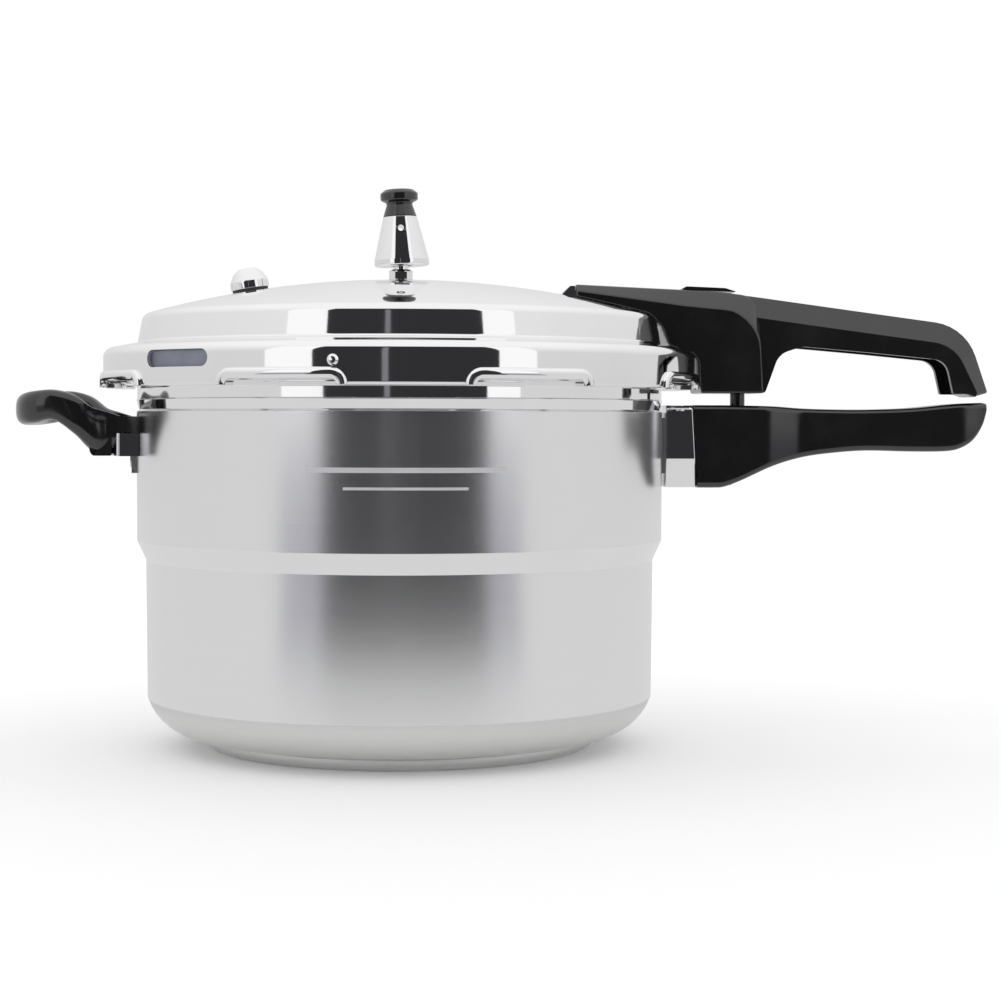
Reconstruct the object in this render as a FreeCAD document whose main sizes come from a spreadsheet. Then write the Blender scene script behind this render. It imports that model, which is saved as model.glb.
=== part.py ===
"""Outer-lid stovetop pressure cooker: pot, long handle pair, helper handle, lid, valve and weight.

Frame: millimetres, +Z up, origin at the centre of the base's underside, +X along the long handles.
The pot is turned about Z. The lid is a dome (part of a sphere) inside a flat skirt, whose eight
folded lugs pass under the eight lugs of the pot's rim when the lid is turned.
"""
import FreeCAD, Part
import math
import os
import Sketcher

Vector = FreeCAD.Vector
Rotation = FreeCAD.Rotation
X_AXIS = Vector(1, 0, 0)
Y_AXIS = Vector(0, 1, 0)
Z_AXIS = Vector(0, 0, 1)

SIZES = {
    # pot
    "base_plate_radius": 91.5, "base_plate_height": 5.5, "base_plate_round": 4.0,
    "crease_radius": 102.2, "crease_height": 7.2,
    "shoulder_corner_radius": 113.94, "shoulder_corner_height": 11.6, "shoulder_round": 26.0,
    "wall_foot_radius": 117.9, "wall_foot_height": 23.5,
    "step_foot_radius": 118.4, "step_foot_height": 87.0, "step_top_height": 96.0,
    "wall_radius": 122.5, "wall_thickness": 2.5, "floor_thickness": 4.0,
    "bead_line_height": 161.5, "neck_radius": 121.8, "neck_height": 164.2,
    "rim_under_height": 168.5, "rim_top_height": 171.5, "rim_radius": 127.5,
    "pot_lug_radius": 135.0, "pot_lug_angle": 21.0, "lug_count": 8,
    # lid
    "dome_radius": 430.0, "dome_top_height": 216.7, "dome_edge_radius": 119.5,
    "dome_foot_radius": 122.0, "dome_foot_height": 186.6, "lid_thickness": 2.0,
    "skirt_radius": 137.6, "skirt_top_height": 183.8, "skirt_foot_height": 166.0,
    "skirt_round": 4.5, "dome_edge_round": 5.0, "dome_foot_round": 1.6,
    "fold_radius": 128.5, "fold_height": 168.0, "notch_angle": 23.0, "notch_height": 170.0,
    "bead_round": 1.85, "window_width": 39.0, "window_round": 3.7, "window_height": 177.7,
    "window_angle": -45.0, "stop_rivet_angle": -12.6, "stop_rivet_height": 176.2,
    # seal
    "seal_outer_radius": 135.25, "seal_inner_radius": 122.6, "seal_foot_height": 171.8,
    "seal_top_height": 181.5, "seal_lip": 2.1, "seal_band": 3.2,
    # vent and weight
    "vent_radius": 4.0, "vent_bore": 1.1, "vent_top_height": 235.8, "vent_clearance": 0.05,
    "weight_foot_radius": 12.8, "weight_top_radius": 7.9, "weight_foot_height": 223.8,
    "weight_edge_height": 226.6, "weight_top_height": 246.8, "weight_bore": 5.4,
    "weight_bore_height": 236.2, "weight_tilt": 2.4, "weight_pin_height": 241.0,
    "weight_pin_radius": 2.1, "knob_neck_radius": 6.1, "knob_radius": 8.8, "knob_top_height": 259.5,
    # safety valve
    "safety_angle": -9.37, "safety_radius": 8.9, "safety_height": 11.6, "safety_gasket": 1.8,
    "safety_stem": 5.0,
    # long handle pair
    "hood_half_width": 18.0, "hood_front": 81.5, "hood_back": 151.0, "block_end": 169.0,
    "block_foot_height": 164.5, "arm_half_width": 13.5, "grip_half_width": 13.0,
    "grip_block_half_width": 17.0, "handle_end": 278.4, "ferrule_start": 122.9,
    "ferrule_end": 137.0, "ferrule_foot_height": 120.4, "ferrule_top_height": 159.0,
    "post_place": 159.65, "post_radius": 3.45, "post_top_height": 169.5,
    "screw_angle_near": 12.1, "screw_angle_far": 14.9, "float_angle": 13.5,
    # helper handle
    "helper_half_width": 37.0, "helper_base_half_width": 30.0,
    # fasteners
    "rivet_shank": 2.5, "rivet_head": 4.4, "rivet_tail": 3.6, "handle_screw_place": 153.0,
}


class Size:
    """A length that knows both its value and the sheet expression that gives it."""

    def __init__(self, value, text):
        self.value = float(value)
        self.text = text

    def __add__(self, other):
        other = as_size(other)
        return Size(self.value + other.value, f"({self.text} + {other.text})")

    def __sub__(self, other):
        other = as_size(other)
        return Size(self.value - other.value, f"({self.text} - {other.text})")

    def __neg__(self):
        return Size(-self.value, f"(0 - {self.text})")

    def __mul__(self, factor):
        return Size(self.value * factor, f"({self.text} * {factor})")


class FreeSize(Size):
    """A coordinate that the rest of the sketch decides; the value is only where it starts."""

    def __init__(self, value):
        Size.__init__(self, value, None)


def as_size(number):
    if isinstance(number, Size):
        return number
    return Size(number, repr(round(float(number), 4)))


def size(alias):
    return Size(SIZES[alias], f"Sizes.{alias}")


RIVET_HEIGHTS = (133.0, 147.0)
RIVET_HOLE = 2.55

doc = FreeCAD.newDocument("PressureCooker")
sheet = doc.addObject("Spreadsheet::Sheet", "Sizes")
for row, (alias, value) in enumerate(SIZES.items(), start=1):
    sheet.set(f"A{row}", alias)
    sheet.set(f"B{row}", str(value))
    sheet.setAlias(f"B{row}", alias)
doc.recompute()

pieces = []


def new_body(label):
    body = doc.addObject("PartDesign::Body", label)
    body.Label = label
    pieces.append(body)
    return body


def place(body, height=None, axis=None, angle=None, base=None):
    """Put a piece at a height and turn it; both stay bound to the sheet."""
    turn = Rotation(axis, as_size(angle).value) if axis is not None else Rotation()
    start = base if base is not None else Vector()
    body.Placement = FreeCAD.Placement(start, turn)
    if height is not None:
        body.setExpression("Placement.Base.z", height.text)
    if axis is not None:
        body.setExpression("Placement.Rotation.Angle", f"{as_size(angle).text} * 1 deg")


def origin_plane(body, role):
    for feature in body.Origin.OriginFeatures:
        if feature.Role == role:
            return feature
    raise RuntimeError(f"{body.Label} has no {role}")


def new_sketch(body, name, role="XZ_Plane", offset=None):
    sketch = body.newObject("Sketcher::SketchObject", f"{body.Label}_{name}")
    sketch.AttachmentSupport = [(origin_plane(body, role), "")]
    sketch.MapMode = "FlatFace"
    if offset is not None:
        sketch.AttachmentOffset = offset
    return sketch


def pin_point(sketch, geometry, end, point):
    """Bind one sketch point to the sheet, from the sketch's origin."""
    for kind, coordinate in (("DistanceX", point[0]), ("DistanceY", point[1])):
        if coordinate.text is None:
            continue
        index = sketch.addConstraint(
            Sketcher.Constraint(kind, -1, 1, geometry, end, coordinate.value))
        sketch.setExpression(f"Constraints[{index}]", coordinate.text)


def draw_outline(sketch, points, arcs=None):
    """Draw a closed outline; arcs maps the number of a side to the centre it turns about."""
    arcs = arcs or {}
    corners = [(as_size(x), as_size(y)) for x, y in points]
    spots = [Vector(x.value, y.value, 0) for x, y in corners]
    count = len(spots)
    first_ends = []
    for side in range(count):
        start = spots[side]
        end = spots[(side + 1) % count]
        if side not in arcs:
            sketch.addGeometry(Part.LineSegment(start, end), False)
            first_ends.append((1, 2))
            continue
        centre = (as_size(arcs[side][0]), as_size(arcs[side][1]))
        middle = Vector(centre[0].value, centre[1].value, 0)
        reach = (start - middle).Length
        from_angle = math.atan2(start.y - middle.y, start.x - middle.x)
        to_angle = math.atan2(end.y - middle.y, end.x - middle.x)
        clockwise = (to_angle - from_angle) % (2 * math.pi) > math.pi + 0.001
        if clockwise:
            from_angle, to_angle = to_angle, from_angle
        circle = Part.Circle(middle, Z_AXIS, reach)
        sketch.addGeometry(Part.ArcOfCircle(circle, from_angle, to_angle), False)
        first_ends.append((2, 1) if clockwise else (1, 2))
        pin_point(sketch, side, 3, centre)
    for side in range(count):
        following = (side + 1) % count
        sketch.addConstraint(Sketcher.Constraint(
            "Coincident", side, first_ends[side][1], following, first_ends[following][0]))
    for side in range(count):
        pin_point(sketch, side, first_ends[side][0], corners[side])


def outline_sketch(body, name, points, arcs=None, role="XZ_Plane", offset=None):
    sketch = new_sketch(body, name, role, offset)
    draw_outline(sketch, points, arcs)
    return sketch


def circle_sketch(body, name, radius, centre=(0, 0), role="XY_Plane", offset=None):
    sketch = new_sketch(body, name, role, offset)
    place_of = (as_size(centre[0]), as_size(centre[1]))
    middle = Vector(place_of[0].value, place_of[1].value, 0)
    sketch.addGeometry(Part.Circle(middle, Z_AXIS, as_size(radius).value), False)
    pin_point(sketch, 0, 3, place_of)
    index = sketch.addConstraint(Sketcher.Constraint("Radius", 0, as_size(radius).value))
    sketch.setExpression(f"Constraints[{index}]", as_size(radius).text)
    return sketch


def feature(body, kind, name, sketch, **values):
    """Add a sketch-based feature; a Size among the values is bound to the sheet."""
    before = body.Shape.Volume if body.Tip is not None else 0.0
    made = body.newObject(f"PartDesign::{kind}", f"{body.Label}_{name}")
    made.Profile = sketch
    for key, value in values.items():
        if isinstance(value, Size):
            setattr(made, key, value.value)
            if value.text is not None:
                made.setExpression(key, value.text)
        else:
            setattr(made, key, value)
    body.Tip = made
    doc.recompute()
    if kind in ("Pocket", "Groove") and abs(body.Shape.Volume - before) < 0.01:
        raise RuntimeError(f"{made.Name} cuts nothing")
    return made


def revolve(body, name, points, arcs=None, kind="Revolution", angle=360.0, offset=None):
    sketch = outline_sketch(body, name + "_profile", points, arcs, offset=offset)
    return feature(body, kind, name, sketch, ReferenceAxis=(sketch, ["V_Axis"]),
                   Angle=as_size(angle), Midplane=as_size(angle).value < 360.0)


def pad(body, name, points, half_width, arcs=None, role="XZ_Plane"):
    """Pad a side outline by the same amount on both sides of its plane."""
    sketch = outline_sketch(body, name + "_outline", points, arcs, role)
    return feature(body, "Pad", name, sketch, Length=as_size(half_width) * 2.0, Midplane=True)


def cut(body, name, points, half_width, arcs=None, role="XZ_Plane"):
    sketch = outline_sketch(body, name + "_outline", points, arcs, role)
    return feature(body, "Pocket", name, sketch, Length=as_size(half_width) * 2.0, Midplane=True)


def slab(body, kind, name, points, low, high, role="XY_Plane", arcs=None):
    """Pad or cut an outline between two distances along its plane's normal."""
    offset = FreeCAD.Placement(Vector(0, 0, as_size(low).value), Rotation())
    sketch = outline_sketch(body, name + "_outline", points, arcs, role, offset)
    sketch.setExpression("AttachmentOffset.Base.z", as_size(low).text)
    return feature(body, kind, name, sketch, Length=as_size(high) - as_size(low),
                   Reversed=(kind == "Pocket"))


def drill(body, name, radius, low, high, centre=(0, 0), role="XY_Plane", turn=None):
    """Cut a round hole between two distances along a plane's normal."""
    rotation = Rotation(turn[0], as_size(turn[1]).value) if turn else Rotation()
    start = rotation.multVec(Vector(0, 0, as_size(low).value))
    offset = FreeCAD.Placement(start, rotation)
    sketch = circle_sketch(body, name + "_circle", radius, centre, role, offset)
    return feature(body, "Pocket", name, sketch, Length=as_size(high) - as_size(low), Reversed=True)


def pattern(body, name, originals, count=None):
    made = body.newObject("PartDesign::PolarPattern", f"{body.Label}_{name}")
    made.Originals = originals
    made.Axis = (origin_plane(body, "Z_Axis"), [""])
    made.Angle = 360
    made.Occurrences = int((count or size("lug_count")).value)
    made.setExpression("Occurrences", (count or size("lug_count")).text)
    body.Tip = made
    doc.recompute()
    return made


def round_edges(body, name, radius, wanted, kind="Fillet"):
    """Fillet or chamfer the edges of a body that wanted() picks."""
    base = body.Tip
    names = [f"Edge{number}" for number, edge in enumerate(base.Shape.Edges, start=1)
             if not edge.Degenerated and wanted(edge)]
    if not names:
        raise RuntimeError(f"{body.Label} {name}: no edge to round")
    made = body.newObject(f"PartDesign::{kind}", f"{body.Label}_{name}")
    made.Base = (base, names)
    key = "Radius" if kind == "Fillet" else "Size"
    setattr(made, key, as_size(radius).value)
    made.setExpression(key, as_size(radius).text)
    body.Tip = made
    doc.recompute()
    if not made.isValid():
        raise RuntimeError(f"{made.Name} failed on {names}")
    return made


def circle_at(radius, height):
    """Pick the full circle about Z that has this radius and height."""
    def wanted(edge):
        curve = edge.Curve
        return (isinstance(curve, Part.Circle) and abs(curve.Radius - radius) < 0.05
                and abs(curve.Center.z - height) < 0.05 and math.hypot(curve.Center.x, curve.Center.y) < 0.05)
    return wanted


def across_at(*places):
    """Pick straight edges along Y that pass within a millimetre of any (x, z) place."""
    def wanted(edge):
        ends = [vertex.Point for vertex in edge.Vertexes]
        if len(ends) != 2 or abs(ends[0].x - ends[1].x) > 0.01 or abs(ends[0].z - ends[1].z) > 0.01:
            return False
        return any(math.hypot(ends[0].x - x, ends[0].z - z) < 1.0 for x, z in places)
    return wanted


def upright_at(edge, *places):
    """True for an upright straight edge at any of these x places."""
    ends = [vertex.Point for vertex in edge.Vertexes]
    if len(ends) != 2 or math.hypot(ends[0].x - ends[1].x, ends[0].y - ends[1].y) > 0.01:
        return False
    return any(abs(ends[0].x - x) < 1.0 for x in places)


def dome_height(reach):
    """Height of the dome's outer surface at a distance from the axis."""
    radius = SIZES["dome_radius"]
    return SIZES["dome_top_height"] - radius + math.sqrt(radius * radius - reach * reach)


dome_centre = size("dome_top_height") - size("dome_radius")
dome_skin = size("dome_radius")


# ---------------------------------------------------------------- pot
def make_base_plate():
    body = new_body("base_plate")
    revolve(body, "disc", [(0, 0), (size("base_plate_radius"), 0),
                           (size("base_plate_radius"), size("base_plate_height")),
                           (0, size("base_plate_height"))])
    round_edges(body, "edge", size("base_plate_round"), circle_at(SIZES["base_plate_radius"], 0))


def make_pot_shell():
    body = new_body("pot_shell")
    wall = size("wall_thickness")
    floor = size("base_plate_height") + size("floor_thickness")
    revolve(body, "wall", [
        (0, size("base_plate_height")),
        (size("base_plate_radius") + 1.0, size("base_plate_height")),
        (size("crease_radius"), size("crease_height")),
        (size("shoulder_corner_radius"), size("shoulder_corner_height")),
        (size("wall_foot_radius"), size("wall_foot_height")),
        (size("step_foot_radius"), size("step_foot_height")),
        (size("wall_radius"), size("step_top_height")),
        (size("wall_radius"), size("bead_line_height")),
        (size("neck_radius"), size("bead_line_height") + 0.8),
        (size("neck_radius"), size("neck_height")),
        (size("rim_radius") - 2.0, size("rim_under_height")),
        (size("rim_radius"), size("rim_under_height")),
        (size("rim_radius"), size("rim_top_height")),
        (size("wall_radius") - wall, size("rim_top_height")),
        (size("wall_radius") - wall, size("step_top_height") + 0.6),
        (size("step_foot_radius") - wall, size("step_foot_height") + 0.6),
        (size("wall_foot_radius") - wall, size("wall_foot_height") + 0.8),
        (size("shoulder_corner_radius") - 2.0, size("shoulder_corner_height") + 2.0),
        (size("crease_radius") - 1.0, floor),
        (0, floor)])
    corner = (SIZES["shoulder_corner_radius"], SIZES["shoulder_corner_height"])
    round_edges(body, "shoulder", size("shoulder_round"), circle_at(*corner))
    round_edges(body, "inner_shoulder", size("shoulder_round") - 3.0,
                circle_at(corner[0] - 2.0, corner[1] + 2.0))
    inner = SIZES["wall_radius"] - SIZES["wall_thickness"]
    round_edges(body, "mouth", 1.2, circle_at(inner, SIZES["rim_top_height"]))
    lug = revolve(body, "lug", [
        (size("rim_radius") - 1.0, size("rim_under_height")),
        (size("pot_lug_radius"), size("rim_under_height")),
        (size("pot_lug_radius"), size("rim_top_height")),
        (size("rim_radius") - 1.0, size("rim_top_height"))], angle=size("pot_lug_angle"))
    pattern(body, "lugs", [lug])
    for height in RIVET_HEIGHTS:
        for side, turn in (("long", 90), ("helper", -90)):
            drill(body, f"{side}_rivet_hole_{int(height)}", RIVET_HOLE, 100, 130, (0, height),
                  "XZ_Plane", (Y_AXIS, turn))


def make_bracket(label, direction, foot, top, half_width, reach, tongue_half, tongue_low, tongue_high):
    """A plate bent to the pot's wall with a tongue that goes into a handle."""
    body = new_body(label)
    place(body, axis=Z_AXIS, angle=direction)
    inner = size("wall_radius") + 0.06
    revolve(body, "plate", [(inner, foot), (inner + 2.4, foot), (inner + 2.4, top), (inner, top)],
            angle=math.degrees(2 * half_width / SIZES["wall_radius"]))
    slab(body, "Pad", "tongue", [(SIZES["wall_radius"] + 1.2, -tongue_half), (reach, -tongue_half),
                                 (reach, tongue_half), (SIZES["wall_radius"] + 1.2, tongue_half)],
         tongue_low, tongue_high)
    for number, height in enumerate(RIVET_HEIGHTS, start=1):
        drill(body, f"rivet_hole_{number}", RIVET_HOLE, 115, 135, (0, height), "XZ_Plane", (Y_AXIS, 90))
    return body


def make_rivets(label, direction):
    """Two round-head rivets through the wall and the bracket's plate."""
    inner = SIZES["wall_radius"] - SIZES["wall_thickness"]
    outer = SIZES["wall_radius"] + 2.46
    group = []
    for number, height in enumerate(RIVET_HEIGHTS, start=1):
        shank = doc.addObject("Part::Cylinder", f"{label}_shank_{number}")
        shank.setExpression("Radius", "Sizes.rivet_shank")
        shank.Height = outer - inner + 1.0
        head = doc.addObject("Part::Cylinder", f"{label}_head_{number}")
        head.setExpression("Radius", "Sizes.rivet_head")
        head.Height = 1.4
        tail = doc.addObject("Part::Cylinder", f"{label}_tail_{number}")
        tail.setExpression("Radius", "Sizes.rivet_tail")
        tail.Height = 0.9
        across = Rotation(Y_AXIS, 90)
        shank.Placement = FreeCAD.Placement(Vector(inner - 0.5, 0, height), across)
        head.Placement = FreeCAD.Placement(Vector(inner - 1.45, 0, height), across)
        tail.Placement = FreeCAD.Placement(Vector(outer + 0.04, 0, height), across)
        rivet = doc.addObject("Part::MultiFuse", f"{label}_{number}")
        rivet.Shapes = [shank, head, tail]
        group.append(rivet)
    joined = doc.addObject("Part::MultiFuse", label)
    joined.Shapes = group
    joined.Label = label
    joined.Placement = FreeCAD.Placement(Vector(), Rotation(Z_AXIS, direction))
    pieces.append(joined)


def make_long_ferrule():
    """Polished collar between the pot's wall and the lower handle."""
    body = new_body("lower_handle_ferrule")
    foot = size("ferrule_foot_height")
    top = size("ferrule_top_height")
    pad(body, "sleeve", [(size("ferrule_start") - 6.0, foot), (size("ferrule_end") + 1.0, foot),
                         (size("ferrule_end") - 1.4, top), (size("ferrule_start") - 6.0, top)],
        size("grip_block_half_width") + 0.3)

    def long_edges(edge):
        first, last = edge.Vertexes[0].Point, edge.Vertexes[1].Point
        return abs(first.y) > 10 and abs(first.y - last.y) < 0.01 and abs(first.x - last.x) > 15
    round_edges(body, "corners", 5.0, long_edges)
    revolve(body, "wall_fit", [(0, 100), (size("wall_radius") + 0.3, 100),
                               (size("wall_radius") + 0.3, 170), (0, 170)], kind="Groove")
    cut(body, "bore", [(100, foot + 2.0), (150, foot + 2.0), (150, top - 2.0), (100, top - 2.0)],
        size("grip_block_half_width") - 2.0)


def make_lower_handle():
    body = new_body("lower_handle")
    start = size("ferrule_end") + 1.5
    pad(body, "side", [
        (start, 120.2), (152.2, 120.2), (180.0, 133.6), (214.0, 138.0), (262.0, 137.4),
        (277.0, 148.0), (277.4, 160.2), (258.7, 159.5), (211.0, 157.0), (172.0, 159.1),
        (start - 2.6, 159.1)], size("grip_block_half_width"))
    outer = size("grip_block_half_width") + 3.0
    for side in (-1, 1):
        full = size("grip_block_half_width") * side
        slim = size("grip_half_width") * side
        slab(body, "Pocket", "waist_" + ("near" if side < 0 else "far"),
             [(160.0, full), (172.0, full), (196.0, slim), (282.0, slim), (282.0, outer * side),
              (160.0, outer * side)], 100.0, 180.0)
    round_edges(body, "sweep", 45.0, across_at((180.0, 133.6), (214.0, 138.0)))
    round_edges(body, "tail", 11.0, across_at((262.0, 137.4), (277.0, 148.0)))

    def long_edges(edge):
        ends = [vertex.Point for vertex in edge.Vertexes]
        if len(ends) != 2 or edge.Length < 6:
            return False
        runs_along = abs(ends[0].x - ends[1].x) > 0.6 * (ends[0] - ends[1]).Length
        return runs_along and min(abs(end.y) for end in ends) > 12 and min(end.x for end in ends) > 139
    round_edges(body, "waist", 30.0, lambda edge: upright_at(edge, 172.0, 196.0))
    round_edges(body, "top_edges", 3.0, lambda edge: long_edges(edge) and edge.Vertexes[0].Point.z > 150)
    round_edges(body, "foot_edges", 4.0, lambda edge: long_edges(edge) and edge.Vertexes[0].Point.z < 150)
    cut(body, "tongue_slot", [(130.0, 136.8), (168.0, 136.8), (168.0, 143.2), (130.0, 143.2)], 10.2)
    drill(body, "screw_hole", 2.1, 115.0, 137.0, (size("handle_screw_place"), 0))
    drill(body, "screw_head_recess", 4.3, 115.0, 124.8, (size("handle_screw_place"), 0))
    drill(body, "post_hole", size("post_radius") + 0.02, 152.0, 162.0, (size("post_place"), 0))


def make_screw(label, place_x, place_y, low, head_height, head_radius, shank_radius, top):
    body = new_body(label)
    revolve(body, "turned", [(0, low), (head_radius, low), (head_radius, low + head_height),
                             (shank_radius, low + head_height + 1.2), (shank_radius, top), (0, top)])
    slab(body, "Pocket", "slot", [(-head_radius, -0.5), (head_radius, -0.5), (head_radius, 0.5),
                                  (-head_radius, 0.5)], low - 0.5, low + 0.9)
    body.Placement = FreeCAD.Placement(Vector(place_x, place_y, 0), Rotation())
    return body


def make_lock_post():
    body = new_body("lock_post")
    revolve(body, "turned", [(0, 152.2), (size("post_radius"), 152.2),
                             (size("post_radius"), size("post_top_height")),
                             (0, size("post_top_height"))])
    round_edges(body, "tip", 0.8, circle_at(SIZES["post_radius"], SIZES["post_top_height"]))
    body.Placement = FreeCAD.Placement(Vector(SIZES["post_place"], 0, 0), Rotation())
    body.setExpression("Placement.Base.x", "Sizes.post_place")


# ---------------------------------------------------------------- helper handle
def clear_bracket(body):
    """Make room behind a helper piece for the bracket's plate and its rivets."""
    behind = FreeCAD.Placement(Vector(), Rotation(Y_AXIS, 180))
    reach = size("wall_radius") + 3.8
    revolve(body, "bracket_room", [(110, 100), (reach, 100), (reach, 170), (110, 170)],
            kind="Groove", angle=14.4, offset=behind)


def make_helper_ferrule():
    body = new_body("helper_ferrule")
    slab(body, "Pad", "block", [(-131.0, -size("helper_base_half_width").value),
                                (-100.0, -size("helper_base_half_width").value),
                                (-100.0, size("helper_base_half_width")),
                                (-131.0, size("helper_base_half_width"))], 135.0, 145.4)
    round_edges(body, "corners", 4.0, lambda edge: upright_at(edge, -131.0))
    clear_bracket(body)
    revolve(body, "wall_fit", [(0, 100), (size("wall_radius") + 0.3, 100),
                               (size("wall_radius") + 0.3, 170), (0, 170)], kind="Groove")
    cut(body, "tongue_slot", [(-150.0, 136.7), (-100.0, 136.7), (-100.0, 150.0), (-150.0, 150.0)], 15.2)
    return body


def make_helper_handle():
    """A loop grip: the side outline is padded, then the plan outline and the finger hole are cut."""
    body = new_body("helper_handle")
    half = size("helper_half_width")
    pad(body, "side", [
        (-120.0, 153.3), (-133.0, 153.3), (-146.5, 163.2), (-160.0, 165.2), (-174.5, 161.8),
        (-177.2, 155.5), (-174.0, 149.4), (-166.0, 148.6), (-158.6, 152.2), (-152.0, 147.2),
        (-140.6, 135.0), (-131.3, 135.0), (-131.3, 145.7), (-120.0, 145.7)], half)
    for side in (-1, 1):
        edge = half * side
        root = size("helper_base_half_width") * side
        slab(body, "Pocket", "plan_" + ("near" if side < 0 else "far"),
             [(-110.0, root), (-136.0, root), (-146.0, edge - side * 2.0), (-164.0, edge - side * 2.0),
              (-171.5, edge - side * 4.0), (-176.0, edge - side * 9.0), (-178.0, edge - side * 17.0),
              (-180.0, edge - side * 17.0), (-180.0, edge + side * 5.0),
              (-110.0, edge + side * 5.0)], 120.0, 180.0)
    slab(body, "Pocket", "finger_hole", [
        (-140.0, -18.0), (-140.0, 18.0), (-147.0, 24.0), (-160.0, 24.0), (-165.0, 18.0),
        (-165.5, 0.0), (-165.0, -18.0), (-160.0, -24.0), (-147.0, -24.0)], 120.0, 180.0)
    revolve(body, "wall_fit", [(0, 100), (size("wall_radius") + 0.3, 100),
                               (size("wall_radius") + 0.3, 170), (0, 170)], kind="Groove")
    cut(body, "tongue_slot", [(-139.0, 134.0), (-100.0, 134.0), (-100.0, 143.4), (-139.0, 143.4)], 15.3)
    clear_bracket(body)


# ---------------------------------------------------------------- lid
def make_lid_shell():
    body = new_body("lid_shell")
    thick = size("lid_thickness")
    revolve(body, "shell", [
        (0, size("dome_top_height")),
        (size("dome_edge_radius"), FreeSize(dome_height(SIZES["dome_edge_radius"]))),
        (size("dome_foot_radius"), size("dome_foot_height")),
        (size("skirt_radius"), size("skirt_top_height")),
        (size("skirt_radius"), size("skirt_foot_height")),
        (size("fold_radius"), size("skirt_foot_height")),
        (size("fold_radius"), size("fold_height")),
        (size("skirt_radius") - thick, size("fold_height")),
        (size("skirt_radius") - thick, size("skirt_top_height") - thick),
        (size("dome_foot_radius") - thick, size("dome_foot_height") - thick),
        (size("dome_edge_radius") - thick, FreeSize(dome_height(SIZES["dome_edge_radius"]) - 2.0)),
        (0, size("dome_top_height") - thick)],
        arcs={0: (0, dome_centre), 10: (0, dome_centre)})
    edge_radius = SIZES["dome_edge_radius"]
    round_edges(body, "dome_edge", size("dome_edge_round"), circle_at(edge_radius, dome_height(edge_radius)))
    round_edges(body, "skirt_top", size("skirt_round"),
                circle_at(SIZES["skirt_radius"], SIZES["skirt_top_height"]))
    round_edges(body, "dome_foot", size("dome_foot_round"),
                circle_at(SIZES["dome_foot_radius"], SIZES["dome_foot_height"]))
    round_edges(body, "skirt_foot", 1.5, circle_at(SIZES["skirt_radius"], SIZES["skirt_foot_height"]))
    between = FreeCAD.Placement(Vector(), Rotation(Y_AXIS, 22.5))
    notch = revolve(body, "notch", [
        (size("fold_radius") - 3.0, size("skirt_foot_height") - 2.0),
        (size("skirt_radius") + 3.0, size("skirt_foot_height") - 2.0),
        (size("skirt_radius") + 3.0, size("notch_height")),
        (size("fold_radius") - 3.0, size("notch_height"))],
        kind="Groove", angle=size("notch_angle"), offset=between)
    pattern(body, "notches", [notch])
    cut_window(body)
    drill(body, "vent_hole", size("vent_radius") + size("vent_clearance"), 200, 230)
    for name, radius, alias in (("safety_hole", 5.05, "safety_angle"),
                                ("near_screw_hole", 2.1, "screw_angle_near"),
                                ("far_screw_hole", 2.1, "screw_angle_far"),
                                ("float_hole", 4.05, "float_angle")):
        low = FreeCAD.Placement(Vector(0, 0, dome_centre.value), Rotation(Y_AXIS, SIZES[alias]))
        circle = circle_sketch(body, name + "_circle", radius, offset=low)
        circle.setExpression("AttachmentOffset.Rotation.Angle", f"Sizes.{alias} * 1 deg")
        feature(body, "Pocket", name, circle, Length=500.0, Reversed=True)
    drill(body, "stop_rivet_hole", 1.55, 130, 145, (0, size("stop_rivet_height")), "XZ_Plane",
          (Y_AXIS, size("stop_rivet_angle")))
    bead_height = size("notch_height") + size("bead_round")
    ring = circle_sketch(body, "bead_profile", size("bead_round"), (size("skirt_radius"), bead_height),
                         "XZ_Plane", between)
    bead = feature(body, "Revolution", "bead", ring, ReferenceAxis=(ring, ["V_Axis"]),
                   Angle=size("notch_angle"), Midplane=True)
    legs = []
    for side in (-1, 1):
        turn = math.radians(-22.5 + side * SIZES["notch_angle"] / 2.0)
        reach = SIZES["skirt_radius"] + 0.05
        spot = (reach * math.cos(turn), reach * math.sin(turn))
        low = FreeCAD.Placement(Vector(0, 0, SIZES["skirt_foot_height"] + 0.4), Rotation())
        leg_sketch = circle_sketch(body, f"leg_{side}_circle", size("bead_round") - 0.1, spot, offset=low)
        legs.append(feature(body, "Pad", f"leg_{side}", leg_sketch,
                            Length=bead_height + size("bead_round") - size("skirt_foot_height") - 0.7))
    pattern(body, "beads", [bead] + legs)


def cut_window(body):
    """The rounded slot in the skirt that lets the seal bulge out as a second safety."""
    half = size("window_width") * 0.5 - size("window_round")
    low = size("window_height") - size("window_round")
    high = size("window_height") + size("window_round")
    turned = FreeCAD.Placement(Vector(), Rotation(Y_AXIS, SIZES["window_angle"]))
    middle = FreeSize(SIZES["window_height"])
    sketch = outline_sketch(body, "window_outline", [(-half, low), (half, low), (half, high), (-half, high)],
                            arcs={1: (half, middle), 3: (-half, middle)}, offset=turned)
    sketch.setExpression("AttachmentOffset.Rotation.Angle", "Sizes.window_angle * 1 deg")
    feature(body, "Pocket", "window", sketch, Length=150.0, Reversed=True)


def make_sealing_ring():
    body = new_body("sealing_ring")
    outer = size("seal_outer_radius")
    inner = size("seal_inner_radius")
    foot = size("seal_foot_height")
    top = size("seal_top_height")
    lip = size("seal_lip")
    web = outer - size("seal_band")
    revolve(body, "ring", [(inner, foot), (outer, foot), (outer, top), (inner + 1.0, top),
                           (inner + 1.0, top - lip), (web, top - lip - 0.6), (web, foot + lip + 0.6),
                           (inner, foot + lip)])
    for height in (foot, top):
        round_edges(body, "edge_" + ("foot" if height is foot else "top"), 0.9,
                    circle_at(outer.value, height.value))


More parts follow.
